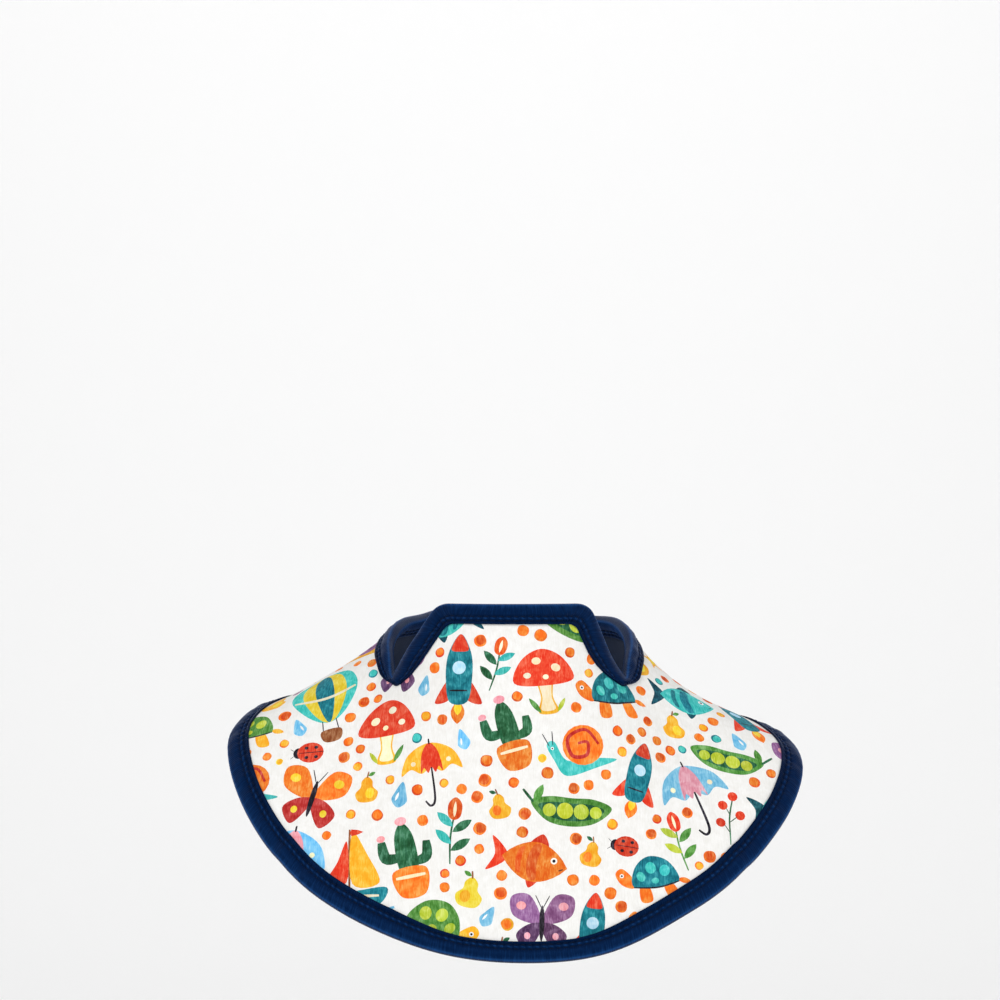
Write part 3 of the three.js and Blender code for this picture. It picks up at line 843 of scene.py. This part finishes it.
def inside(outline, points):
    """Which points a closed outline holds."""
    hold = np.zeros(len(points), bool)
    x, y = points[:, 0], points[:, 1]
    for (x0, y0), (x1, y1) in zip(outline, np.roll(outline, -1, 0)):
        crosses = (y0 > y) != (y1 > y)
        if crosses.any():
            hold[crosses] ^= x[crosses] < x0 + (y[crosses] - y0) * (x1 - x0) / (y1 - y0)
    return hold


draw = random.Random(23)
net_points = np.concatenate([bib_flat.reshape(-1, 2), flap_flat.reshape(-1, 2)])
cell = 0.0005
grid_corner = net_points.min(0) - 0.03
taken = np.zeros(tuple(((np.ptp(net_points, axis=0) + 0.06) / cell).astype(int)), bool)
placed_circles = []
painted = []


def cells_of(points):
    return tuple(((points - grid_corner) / cell).astype(int).T)


def take_cells(outline, clearance):
    """Marks the cells that a painted outline covers, and those close round it."""
    rim = cells_of(np.concatenate([outline, (outline + np.roll(outline, 1, 0)) / 2]))
    reach = int(round(clearance / cell))
    low = np.array([k.min() for k in rim]) - reach - 1
    high = np.array([k.max() for k in rim]) + reach + 2
    local = np.stack(np.meshgrid(*[np.arange(a, b) for a, b in zip(low, high)], indexing="ij"), -1)
    held = inside(outline, (local.reshape(-1, 2) + 0.5) * cell + grid_corner).reshape(local.shape[:2])
    held[rim[0] - low[0], rim[1] - low[1]] = True
    area = taken[low[0]:high[0], low[1]:high[1]]
    for i in range(-reach, reach + 1):
        for j in range(-reach, reach + 1):
            if math.hypot(i, j) <= reach + 0.3:
                area |= np.roll(held, (i, j), (0, 1))


def scatter(kinds, tries, limit, lean, clearance, apart=None):
    """Throws pictures on the cut at random, and keeps those that find room."""
    order = list(kinds)
    draw.shuffle(order)
    for _ in range(tries):
        kind, colors, across = order[0]
        x, y = net_points[draw.randrange(len(net_points))]
        x += draw.uniform(-0.003, 0.003)
        y += draw.uniform(-0.003, 0.003)
        across *= draw.uniform(0.9, 1.12)
        turn = math.radians(draw.gauss(0, lean))
        flip = draw.choice((-1, 1))
        near = [k is kind and math.hypot(x - a, y - b) < 0.95 * (across + r)
                for a, b, r, k in placed_circles]
        if apart:
            near += [math.hypot(x - a, y - b) < apart * (across + r) / 2
                     for a, b, r, _ in placed_circles]
        if (across > 0.007 and any(near)) or taken[cells_of(np.array([[x, y]]))].any():
            order = order[1:] + order[:1] if draw.random() < 0.03 else order
            continue
        spin = np.array([[math.cos(turn), math.sin(turn)], [-math.sin(turn), math.cos(turn)]])
        outlines = [(color, (outline * [flip, 1]) @ spin * across + [x, y])
                    for color, outline in kind(*colors)]
        if taken[cells_of(np.concatenate([outline for _, outline in outlines]))].any():
            order = order[1:] + order[:1] if draw.random() < 0.03 else order
            continue
        placed_circles.append((x, y, across, kind))
        painted.extend(outlines)
        for _, outline in outlines:
            take_cells(outline, clearance)
        order = order[1:] + order[:1]
        limit -= 1
        if limit == 0:
            return


scatter(large_pictures, 12000, 80, 12, 0.0016, apart=0.60)
scatter(fruit_pictures, 6000, 60, 18, 0.0014)
scatter(middle_pictures, 6000, 50, 20, 0.0014)
scatter(dot_pictures, 12000, 190, 60, 0.0013)
scatter(small_pictures, 9000, 220, 60, 0.0010)

cover_reach = 0.35  # how far in from the edge the cloths end, as shares of the tape
lining_reach = 0.30
cover_outline = across_tape(cover_reach)[2]
lining_outline = across_tape(lining_reach)[2]


def cut_triangles(outline, gap, outlines=()):
    """Triangles of the flat cut, all facing up, with the given outlines among their sides."""
    low, high = outline.min(0), outline.max(0)
    across = np.arange(low[0], high[0], gap)
    up = np.arange(low[1], high[1], gap)
    grid = np.stack(np.meshgrid(across, up, indexing="ij"), -1)
    grid[:, 1::2, 0] += gap / 2
    grid = grid.reshape(-1, 2)
    rim = outline[::2]
    grid = grid[inside(rim, grid)]
    points = [rim]
    sides = [np.stack([np.arange(len(rim)), (np.arange(len(rim)) + 1) % len(rim)], -1)]
    count = len(rim)
    for line in outlines:
        if not inside(rim, line).any():
            continue
        points.append(line)
        steps = np.arange(len(line))
        sides.append(count + np.stack([steps, (steps + 1) % len(line)], -1))
        count += len(line)
    points = np.concatenate(points + [grid]) * 1000
    sides = np.concatenate(sides).tolist()
    made, _, faces, *_ = delaunay_2d_cdt([Vector(p) for p in points], sides, [], 0, 1e-4)
    made = np.array([tuple(v) for v in made]) / 1000
    faces = np.array(faces)
    middles = made[faces].mean(1)
    faces = faces[inside(rim, middles)]
    used, faces = np.unique(faces, return_inverse=True)
    faces = faces.reshape(-1, 3)
    back = doubled_area(*(made[used][faces[:, k]] for k in range(3))) < 0
    return made[used], np.where(back[:, None], faces[:, ::-1], faces)


def grid_faces(numbers):
    a, b, c, d = numbers[:-1, :-1], numbers[1:, :-1], numbers[1:, 1:], numbers[:-1, 1:]
    return np.concatenate([np.stack(three, -1).reshape(-1, 3) for three in ((a, b, c), (a, c, d))])


bib_numbers = np.arange(bib_flat[..., 0].size).reshape(bib_flat.shape[:2])
flap_numbers = bib_numbers.size + np.arange(flap_flat[..., 0].size).reshape(flap_flat.shape[:2])
net_faces = np.concatenate([grid_faces(bib_numbers), grid_faces(flap_numbers)])
net_flat = np.concatenate([bib_flat.reshape(-1, 2), flap_flat.reshape(-1, 2)])
net_spots = np.concatenate([bib_middle.reshape(-1, 3), flap_centre.reshape(-1, 3)])
net_facing = np.concatenate([bib_facing.reshape(-1, 3), flap_facing.reshape(-1, 3)])
flat_tree = BVHTree.FromPolygons([(x, y, 0) for x, y in net_flat], net_faces.tolist())


def worn(flat):
    """Where flat places of the cut lie on the worn sheet, and the sheet's facing there."""
    found = [flat_tree.find_nearest((x, y, 0)) for x, y in flat]
    corners = net_faces[[f[2] for f in found]]
    a, b, c = (net_flat[corners[:, k]] for k in range(3))
    spot = np.array([f[0][:2] for f in found])
    shares = np.stack([doubled_area(spot, b, c), doubled_area(a, spot, c), doubled_area(a, b, spot)], -1)
    shares /= doubled_area(a, b, c)[:, None]
    place = (net_spots[corners] * shares[..., None]).sum(1)
    return place, unit((net_facing[corners] * shares[..., None]).sum(1))


def mesh_object(name, points, faces, uv=None):
    mesh = bpy.data.meshes.new(name)
    faces = faces if isinstance(faces, list) else faces.tolist()
    mesh.from_pydata(np.asarray(points).tolist(), [], faces)
    if uv is not None:
        layer = mesh.uv_layers.new(name="flat")
        corner = np.zeros(len(mesh.loops), np.int32)
        mesh.loops.foreach_get("vertex_index", corner)
        layer.data.foreach_set("uv", np.asarray(uv)[corner].astype(np.float32).ravel())
    mesh.polygons.foreach_set("use_smooth", [True] * len(mesh.polygons))
    thing = bpy.data.objects.new(name, mesh)
    bpy.context.scene.collection.objects.link(thing)
    return thing


def closed_layer(name, flat, faces, place, way, low, high):
    """A thin closed layer between two heights above a surface, facing the given ways."""
    count = len(flat)
    sides = np.concatenate([faces[:, [0, 1]], faces[:, [1, 2]], faces[:, [2, 0]]])
    keys = sides.min(1) * count + sides.max(1)
    _, first, times = np.unique(keys, return_index=True, return_counts=True)
    rim = sides[first[times == 1]]
    walls = np.concatenate([np.stack([rim[:, 1], rim[:, 0], rim[:, 0] + count], -1),
                            np.stack([rim[:, 1], rim[:, 0] + count, rim[:, 1] + count], -1)])
    points = np.concatenate([place + way * high, place + way * low])
    every = np.concatenate([faces, faces[:, ::-1] + count, walls])
    return mesh_object(name, points, every, np.concatenate([flat, flat]))


def set_sockets(material, node, sockets):
    """Links outputs to a node's sockets, and puts numbers and colours on them."""
    for socket, value in sockets.items():
        if isinstance(value, bpy.types.NodeSocket):
            material.node_tree.links.new(value, node.inputs[socket])
        else:
            node.inputs[socket].default_value = value


def add_node(material, kind, sockets, output, **choices):
    """Adds a node to a material and gives back one of its outputs."""
    node = material.node_tree.nodes.new("ShaderNode" + kind)
    for choice, value in choices.items():
        setattr(node, choice, value)
    set_sockets(material, node, sockets)
    return node.outputs[output]


def finish_of(piece, material, sockets):
    """Puts a material on a piece, with the sockets of its surface shader."""
    set_sockets(material, material.node_tree.nodes["Principled BSDF"], sockets)
    piece.data.materials.append(material)


def new_material(name):
    material = bpy.data.materials.new(name)
    material.use_nodes = True
    return material


def new_cloth(name):
    """A new cloth material and the flat places that its threads follow."""
    material = new_material(name)
    return material, add_node(material, "UVMap", {}, "UV", uv_map="flat")


def cloth_bump(material, threads, strength, depth):
    sockets = {"Height": threads, "Strength": strength, "Distance": depth}
    return add_node(material, "Bump", sockets, "Normal")


cover_gap = 0.0022
cover_back, cover_front = 0.0002, 0.0014
cover_flat, cover_faces = cut_triangles(cover_outline, cover_gap, [outline for _, outline in painted])
cover = closed_layer("printed_cover", cover_flat, cover_faces, *worn(cover_flat), cover_back,
                     cover_front)
middles = cover_flat[cover_faces].mean(1)
order = np.argsort(middles[:, 0])
sorted_x = middles[order, 0]
paint = np.tile(linear(ink_colors["ground"]), (len(cover_faces), 1))
for color, outline in painted:
    low, high = outline.min(0), outline.max(0)
    near = order[np.searchsorted(sorted_x, low[0]):np.searchsorted(sorted_x, high[0])]
    near = near[(middles[near, 1] > low[1]) & (middles[near, 1] < high[1])]
    thin, warm = draw.uniform(0.86, 1.10), draw.uniform(0.93, 1.07)
    if len(near):
        mixed = np.minimum(np.array(linear(ink_colors[color])) * [thin * warm, thin, thin / warm], 0.95)
        paint[near[inside(outline, middles[near])]] = mixed
corner_paint = np.tile(linear(ink_colors["ground"]), (len(cover.data.polygons), 1))
corner_paint[:len(cover_faces)] = paint
ink_layer = cover.data.color_attributes.new("print", "FLOAT_COLOR", "CORNER")
ink_values = np.ones((len(cover.data.loops), 4), np.float32)
ink_values[:, :3] = np.repeat(corner_paint, 3, 0)
ink_layer.data.foreach_set("color", ink_values.ravel())

printed_cloth, flat_place = new_cloth("printed_cloth")
ink = add_node(printed_cloth, "VertexColor", {}, "Color", layer_name="print")
brush = add_node(printed_cloth, "TexNoise",
                 {"Vector": flat_place, "Scale": 240, "Detail": 4, "Distortion": 0.6}, "Fac")
bristle_way = add_node(printed_cloth, "Mapping", {"Vector": flat_place, "Rotation": (0, 0, 0.5),
                                                  "Scale": (1500, 230, 1)}, "Vector")
bristles = add_node(printed_cloth, "TexNoise",
                    {"Vector": bristle_way, "Scale": 1, "Detail": 3, "Distortion": 1.2}, "Fac")
dabs = add_node(printed_cloth, "Math", {0: brush, 1: bristles}, "Value", operation="ADD")
dab = add_node(printed_cloth, "MapRange",
               {"Value": dabs, "From Min": 0.75, "From Max": 1.25, "To Min": 0.66, "To Max": 1.42},
               "Result")
tint = add_node(printed_cloth, "Gamma", {"Color": ink, "Gamma": dab}, "Color")
weave = add_node(printed_cloth, "TexNoise", {"Vector": flat_place, "Scale": 1900, "Detail": 1}, "Fac")
finish_of(cover, printed_cloth, {
    "Base Color": tint, "Normal": cloth_bump(printed_cloth, weave, 0.22, 0.0004), "Roughness": 0.72,
    "Sheen Weight": 0.03, "Sheen Roughness": 0.5, "Specular IOR Level": 0.15})
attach(cover, "root")
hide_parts("shield_panel")


# The lining: plain dark blue woven cloth against the wearer. It has the cut of the cover, lies
# behind it, and is sewn in under the tape.
lining_gap = 0.0035
lining_back, lining_front = -0.0014, -0.0006
lining_flat, lining_faces = cut_triangles(lining_outline, lining_gap)
lining = closed_layer("lining_cloth", lining_flat, lining_faces, *worn(lining_flat), lining_back,
                      lining_front)
lining_blue, flat_place = new_cloth("lining_cloth")
threads = add_node(lining_blue, "TexNoise", {"Vector": flat_place, "Scale": 900, "Detail": 2}, "Fac")
depth = add_node(lining_blue, "Mix", {"Factor": threads, "A": (0.006, 0.013, 0.035, 1),
                                      "B": (0.012, 0.024, 0.058, 1)}, "Result", data_type="RGBA")
finish_of(lining, lining_blue, {
    "Base Color": depth, "Normal": cloth_bump(lining_blue, threads, 0.3, 0.0004), "Roughness": 0.8,
    "Sheen Weight": 0.05, "Specular IOR Level": 0.12})
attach(lining, "root")
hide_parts("inner_lining")


# The binding: one ribbed tape of dark blue cloth folded over the whole edge, rounded at the
# fold and pulled down a little where it is sewn.
# Its colour holds painted shade at the inner rim and in the stitch rows, and a painted highlight along the
# fold.
tape_run = np.linalg.norm(np.roll(across_tape(0.5)[0], -1, 0) - across_tape(0.5)[0], axis=-1)
tape_along = np.concatenate([[0], np.cumsum(tape_run)])
stitch_rows = (0.0015, 0.0034)  # how far in from the tape's inner rim
rim_level = 0.00235
outer_rise = 0.00062
fold_drop = 0.00022
rim_bead = 0.00016
lump_rise = 0.00034
pucker = random.Random(5)
puckers = [(pucker.uniform(0.008, 0.022), pucker.uniform(0, 6.28), pucker.uniform(0.00004, 0.00010))
           for _ in range(8)]
tape_length = float(tape_along[-1])
stitch_count = round(tape_length / 0.0032)
stitch_pitch = tape_length / stitch_count


def puckered(along_tape):
    """A gentle unevenness along the tape that closes on itself after one round."""
    rise = 0
    for length, start, height in puckers:
        turns = round(tape_length / length)
        rise = rise + height * np.sin(2 * math.pi * turns * along_tape / tape_length + start)
    return rise


def lumps(inward, along_tape):
    """The cloth that swells between the two rows of stitches, slanting from stitch to stitch."""
    middle = inward - (stitch_rows[0] + stitch_rows[1]) / 2
    swell = 0.5 - 0.5 * np.cos(2 * math.pi * (along_tape + 0.9 * middle) / stitch_pitch)
    return swell * np.exp(-(middle / 0.00075) ** 2)


def tape_height(inward, along_tape):
    """The tape's outer face above the sheet's middle, by the distance in from its inner rim."""
    low = rim_level + outer_rise * ease((inward - 0.0030) / 0.0028)
    low = low - fold_drop * ease((inward - 0.0062) / 0.0019)
    low = low + rim_bead * np.exp(-((inward - 0.0005) / 0.0004) ** 2)
    wave = 0.00042 + 0.00024 * np.cos(2 * math.pi * along_tape / stitch_pitch)
    for row in stitch_rows:
        low = low - wave * np.exp(-((inward - row) / 0.00050) ** 2)
    return low + lumps(inward, along_tape) * lump_rise + puckered(along_tape) * ease(inward / 0.002)


def out_from_edge():
    """Ways out of the sheet's edge along its surface, mitred in the notches."""
    run = np.roll(edge_points, -1, 0) - edge_points
    steps = np.linalg.norm(run, axis=-1)
    still = steps < station_gap * 0.05
    run = np.where(still[:, None], 0, run / np.maximum(steps, 1e-9)[:, None])
    both = run + np.roll(run, 1, 0)
    out = np.cross(edge_facing, both)
    lengths = np.linalg.norm(out, axis=-1, keepdims=True)
    out = out / np.maximum(lengths, 1e-9)
    starts = np.flatnonzero(still & ~np.roll(still, 1))
    blend_reach = round(0.003 / station_gap)
    for start in starts:
        last = start
        while still[last % len(still)]:
            last += 1
        before, after = out[start - blend_reach], out[(last + blend_reach) % len(out)]
        mitre = before + after
        mitre *= 2 / (mitre @ mitre)
        for k in range(start - blend_reach, last + blend_reach + 1):
            near = min(1, min(k - start, last - k) / (blend_reach + 1) + 1)
            blend = out[k % len(out)] if near < 1 else mitre
            out[k % len(out)] = blend * (1 - near) + mitre * near
    return out


out_ways = out_from_edge()
if np.mean(((edge_points - across_tape(0.5)[0]) * out_ways).sum(-1)) < 0:
    out_ways = -out_ways
strip_widths = ((edge_points - across_tape(1.0)[0]) * out_ways).sum(-1)
strip_widths /= np.linalg.norm(out_ways, axis=-1) ** 2
inward_steps = np.array([0, 0.0003, 0.0008, 0.0012, 0.0015, 0.0018, 0.0024, 0.0030, 0.0034, 0.0038,
                         0.0046, 0.0058, 0.0070])
rings = []
ring_across = []
ring_painted_light = []


def ring(inward, height, reach=0.0, painted_light=0.25):
    """One line of points along the tape, a distance in from its inner rim on the sheet, with its painted
    light and shade: low values for painted shade, high ones for a painted highlight.
    """
    place, way, _ = across_tape(1 - inward / strip_width)
    rings.append(place + way * np.asarray(height * np.ones(len(place)))[:, None] + out_ways * reach)
    ring_painted_light.append(painted_light * np.ones(len(place)))
    step = np.median(np.linalg.norm(rings[-1] - rings[-2], axis=-1)) if ring_across else 0.0
    ring_across.append(float(step) + (ring_across[-1] if ring_across else 0.0))


marks = tape_along[:-1]
under = 0.00150
fold_height = tape_height(0.0075, 0)


def face_painted_light(inward):
    """Painted shade at the inner rim and along the stitches, and a painted highlight where the cloth stands
    up.
    """
    dip = sum(np.exp(-((inward - row) / 0.0004) ** 2) for row in stitch_rows)
    return 0.21 + 0.14 * ease(inward / 0.0045) - 0.18 * dip + 0.24 * lumps(inward, marks)


# The rings tucked under the inner rim get the darkest painted shade.
ring(0, under, painted_light=0.0)
for inward in inward_steps:
    ring(inward, tape_height(inward, marks), painted_light=face_painted_light(inward))
# A painted highlight runs along the rounded fold, brightest a little way round it.
fold_turns = [0, 24, 42, 60, 90, 120, 138, 156, 180]
for turn, painted_light in zip(np.radians(fold_turns), (0.42, 0.66, 0.56, 0.34, 0.26, 0.34, 0.56, 0.66, 0.42)):
    ring(strip_width, fold_height * math.cos(turn), fold_reach * math.sin(turn), painted_light)
for inward in inward_steps[::-1]:
    ring(inward, -tape_height(inward, marks), painted_light=face_painted_light(inward))
ring(0, -under, painted_light=0.0)
ring(0.0066, -under)
ring(strip_width, -under * 0.8, 0.0003)
ring(strip_width, under * 0.8, 0.0003)
ring(0.0066, under)
ring_count, station_count = len(rings), len(stations)
tape_points = np.stack(rings, 1)
numbers = np.arange(station_count * ring_count).reshape(station_count, ring_count)
wrapped = np.concatenate([numbers, numbers[:1]])
wrapped = np.concatenate([wrapped, wrapped[:, :1]], 1)
a, b, c, d = wrapped[:-1, :-1], wrapped[1:, :-1], wrapped[1:, 1:], wrapped[:-1, 1:]
tape_faces = np.stack([a, d, c, b], -1).reshape(-1, 4)
across_marks = np.array(ring_across + [ring_across[-1] + 0.006])
uv_grid = np.stack(np.meshgrid(tape_along, across_marks, indexing="ij"), -1)
a, b, c, d = uv_grid[:-1, :-1], uv_grid[1:, :-1], uv_grid[1:, 1:], uv_grid[:-1, 1:]
tape_uv = np.stack([a, d, c, b], 2).reshape(-1, 2)
tape = mesh_object("binding_tape", tape_points.reshape(-1, 3), tape_faces)
layer = tape.data.uv_layers.new(name="flat")
layer.data.foreach_set("uv", tape_uv.astype(np.float32).ravel())
# Each point's painted light and shade, kept on the mesh for the tape's colour.
painted_light_layer = tape.data.attributes.new("painted_light", "FLOAT", "POINT")
painted_light_layer.data.foreach_set("value", np.stack(ring_painted_light, 1).astype(np.float32).ravel())
shape = bmesh.new()
shape.from_mesh(tape.data)
bmesh.ops.remove_doubles(shape, verts=shape.verts, dist=2e-6)
bmesh.ops.dissolve_degenerate(shape, edges=shape.edges, dist=1e-7)
if shape.calc_volume(signed=True) < 0:
    bmesh.ops.reverse_faces(shape, faces=shape.faces)
shape.to_mesh(tape.data)
shape.free()
tape_blue, flat_place = new_cloth("binding_tape")
ribs = add_node(tape_blue, "TexWave", {"Vector": flat_place, "Scale": 310, "Distortion": 0.5,
                                       "Detail Scale": 2}, "Fac", bands_direction="X")
streak_way = add_node(tape_blue, "Mapping", {"Vector": flat_place, "Scale": (1150, 130, 1)}, "Vector")
streaks = add_node(tape_blue, "TexNoise", {"Vector": streak_way, "Scale": 1, "Detail": 3}, "Fac")
painted_light = add_node(tape_blue, "Attribute", {}, "Fac", attribute_name="painted_light")
# Random streaks in the dye, plus the painted light and shade, pick the tape's colour from a painted-shade
# blue to a painted-highlight blue.
streaks_and_painted_light = add_node(tape_blue, "Math", {0: streaks, 1: 0.34, 2: painted_light}, "Value", operation="MULTIPLY_ADD")
dye_and_painted_light = add_node(tape_blue, "ValToRGB", {"Fac": streaks_and_painted_light}, "Color")
stops = dye_and_painted_light.node.color_ramp.elements
stops.new(0.5)
shade_to_highlight_dye = ((0.18, (0.0001, 0.0011, 0.008)), (0.52, (0.0014, 0.0100, 0.044)),
             (1.0, (0.014, 0.075, 0.250)))
for stop, (share, color) in zip(stops, shade_to_highlight_dye):
    stop.position, stop.color = share, (*color, 1)
finish_of(tape, tape_blue, {
    "Base Color": dye_and_painted_light, "Normal": cloth_bump(tape_blue, ribs, 0.30, 0.0003), "Roughness": 0.40,
    "Sheen Weight": 0.16, "Sheen Roughness": 0.35, "Sheen Tint": (0.06, 0.28, 1.0, 1),
    "Specular IOR Level": 0.16, "Specular Tint": (0.06, 0.30, 1.0, 1)})
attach(tape, "root")
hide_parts("edge_binding")


# The stitches: dark blue sewing thread in two rows through the tape and the layers in it. Each
# stitch stands up a little on the front of the tape and on its back.
thread_radius = 0.00029
thread_half = 0.00118
thread_girth = np.array([0.02, 0.55, 0.9, 1, 0.9, 0.55, 0.02])
thread_lengthwise = np.array([-1, -0.93, -0.72, 0, 0.72, 0.93, 1])


def stitch_line(inward, face, seed):
    """Short raised threads laid end to end along the tape on one of its faces."""
    hand = random.Random(seed)
    wide = strip_widths > 0.0045
    nearby = np.array([-4, 0, 4])
    place, way, _ = across_tape(1 - inward / strip_width)
    level = tape_height(inward, marks)
    line = place + way * (face * level)[:, None]
    closed_line = np.concatenate([line, line[:1]])
    closed_way = np.concatenate([way, way[:1]]) * face
    turns = np.linspace(0, 2 * math.pi, 8, endpoint=False)
    points, faces = [], []
    for k in range(stitch_count):
        middle = (k + 0.5) * stitch_pitch + hand.uniform(-0.0001, 0.0001)
        station = int(np.searchsorted(tape_along, middle)) - 1
        spots = middle + thread_lengthwise * thread_half
        centre = np.stack([np.interp(spots, tape_along, closed_line[:, m]) for m in range(3)], -1)
        up = np.array([np.interp(middle, tape_along, closed_way[:, m]) for m in range(3)])
        up /= np.linalg.norm(up)
        ahead = centre[-1] - centre[0]
        if np.linalg.norm(ahead) < 0.0018 or not wide[(station + nearby) % station_count].all():
            continue
        ahead /= np.linalg.norm(ahead)
        side = np.cross(up, ahead)
        centre = centre + side * (thread_lengthwise * hand.uniform(-0.00008, 0.00008))[:, None]
        sink = (0.00010 - 0.00026 * thread_lengthwise ** 4)[:, None] * up
        ring_shape = np.cos(turns)[:, None] * side + 0.8 * np.sin(turns)[:, None] * up
        body = (centre + sink)[:, None] + thread_girth[:, None, None] * thread_radius * ring_shape[None]
        start = len(points) * body[..., 0].size
        points.append(body.reshape(-1, 3))
        index = start + np.arange(body[..., 0].size).reshape(len(thread_girth), len(turns))
        turned = np.roll(index, -1, 1)
        around = np.stack([index[:-1], turned[:-1], turned[1:], index[1:]], -1).reshape(-1, 4)
        faces.extend(around.tolist())
        faces.append(index[0][::-1].tolist())
        faces.append(index[-1].tolist())
    return np.concatenate(points), faces


thread_points, thread_faces, thread_total = [], [], 0
for seed, (inward, face) in enumerate([(row, side) for row in stitch_rows for side in (1, -1)]):
    points, faces = stitch_line(inward, face, seed)
    thread_faces += [[n + thread_total for n in corners] for corners in faces]
    thread_points.append(points)
    thread_total += len(points)
stitches = mesh_object("binding_stitches", np.concatenate(thread_points), thread_faces)
thread_blue = new_material("sewing_thread")
thread_place = add_node(thread_blue, "TexCoord", {}, "Object")
twist = add_node(thread_blue, "TexNoise", {"Vector": thread_place, "Scale": 2600}, "Fac")
thread_dye = add_node(thread_blue, "Mix", {"Factor": twist, "A": (0.001, 0.003, 0.012, 1),
                                           "B": (0.004, 0.012, 0.040, 1)}, "Result", data_type="RGBA")
finish_of(stitches, thread_blue, {"Base Color": thread_dye, "Roughness": 0.6,
                                  "Specular IOR Level": 0.06})
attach(stitches, "root")


# The back closure: two pads of hook-and-loop tape, hooks sewn on the outside of one wing and
# loops on the inside of the other, pressed together where the wings overlap at the nape.
patch_margin = 0.002
patch_round = 0.003
patch_gap = 0.0016


def closure_pad(name, low, high):
    nape = section_curve(np.full(1, 180.0))
    length = float(along_curve(nape, np.zeros(1))[1][0])
    edge = strip_width + patch_margin
    tall = length - 2 * edge
    middle_radius = float(along_curve(nape, np.full(1, length / 2))[0][0, 0])
    half = math.radians(wing_overlap) * middle_radius - edge
    outline = []
    for corner_x, corner_y, start in ((1, 1, 0), (-1, 1, 90), (-1, -1, 180), (1, -1, 270)):
        for turn in np.radians(np.linspace(start, start + 90, 7)):
            outline.append((corner_x * (half - patch_round) + patch_round * math.cos(turn),
                            corner_y * (tall / 2 - patch_round) + patch_round * math.sin(turn)))
    dense = np.repeat(np.array(outline), 2, 0)
    dense[1::2] = (dense[::2] + np.roll(dense[::2], -1, 0)) / 2
    flat, faces = cut_triangles(dense, patch_gap)
    along = edge + tall / 2 - flat[:, 1]
    radius = along_curve(np.repeat(nape, len(flat), 0), along)[0][:, 0]
    angle = 180 + np.degrees(flat[:, 0] / half * (math.radians(wing_overlap) - edge / radius))
    row = 1 + (along - strip_width) / (length - 2 * strip_width) * (bib_rows - 2)
    end_radius = along_curve(np.repeat(nape, len(flat), 0), length * row / bib_rows)[0][:, 0]
    last_even = wing_end - np.degrees(strip_width / end_radius)
    column = flap_edge + (angle - notch_angle) / (last_even - notch_angle) * (wing_columns - 1)
    place, way, _ = on_sheet(column, row)
    return closed_layer(name, flat, faces, place, way, low, high)


closure_pile, flat_place = new_cloth("hook_and_loop")
nap = add_node(closure_pile, "TexNoise", {"Vector": flat_place, "Scale": 1400, "Detail": 3}, "Fac")
pile = add_node(closure_pile, "Mix", {"Factor": nap, "A": (0.006, 0.007, 0.010, 1),
                                      "B": (0.022, 0.024, 0.032, 1)}, "Result", data_type="RGBA")
nap_bump = cloth_bump(closure_pile, nap, 0.6, 0.0006)
for name, low, high in (("closure_hooks", 0.00146, 0.00300), ("closure_loops", 0.00306, 0.00478)):
    pad = closure_pad(name, low, high)
    finish_of(pad, closure_pile, {"Base Color": pile, "Normal": nap_bump, "Roughness": 0.9,
                                  "Sheen Weight": 0.4})
    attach(pad, "root")
    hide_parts("back_closure")


# The studio: a pale floor that sweeps up behind the collar, a wide soft light high on the left,
# a weaker one on the right, and light from all round.
floor_level = -0.32
floor_half = 6.0
sweep_start = 1.6
sweep_radius = 1.2
sweep = [(-floor_half, floor_level), (sweep_start, floor_level)]
for t in np.linspace(0.1, math.pi / 2, 14):
    sweep.append((sweep_start + sweep_radius * math.sin(t),
                  floor_level + sweep_radius - sweep_radius * math.cos(t)))
sweep.append((sweep_start + sweep_radius, floor_half))
points = [(x, y, z) for y, z in sweep for x in (-floor_half, floor_half)]
faces = [(2 * k, 2 * k + 1, 2 * k + 3, 2 * k + 2) for k in range(len(sweep) - 1)]
floor = mesh_object("studio_floor", points, faces)
studio_paper = new_material("studio_paper")
finish_of(floor, studio_paper, {"Base Color": (0.97, 0.97, 0.97, 1), "Roughness": 0.9})

world = bpy.data.worlds.new("studio_air")
bpy.context.scene.world = world
world.use_nodes = True
world.node_tree.nodes["Background"].inputs["Color"].default_value = (1, 1, 1, 1)
world.node_tree.nodes["Background"].inputs["Strength"].default_value = 0.45


def soft_light(name, place, target, size, power):
    light = bpy.data.lights.new(name, "AREA")
    light.size = size
    light.energy = power
    lamp = bpy.data.objects.new(name, light)
    lamp.location = place
    lamp.rotation_euler = (Vector(target) - Vector(place)).to_track_quat("-Z", "Y").to_euler()
    bpy.context.scene.collection.objects.link(lamp)


soft_light("key_light", (-1.2, -1.7, 1.5), (0, 0, -0.05), 0.9, 26)
soft_light("fill_light", (1.6, -1.7, 0.7), (0, 0, -0.05), 1.4, 18)
soft_light("paper_light", (0, 1.2, 1.9), (0, 2.9, 1.0), 2.0, 18)

bpy.context.scene.view_settings.view_transform = "Standard"
camera_data = bpy.data.cameras.new("photo_view")
camera_data.lens = 153.2
camera_data.sensor_width = 36
camera_data.clip_end = 50
camera = bpy.data.objects.new("photo_view", camera_data)
camera.location = (-0.0061, -2.0, 0.0843)
camera.rotation_euler = (math.pi / 2, 0, 0)
bpy.context.scene.collection.objects.link(camera)
bpy.context.scene.camera = camera

bpy.context.view_layer.update()
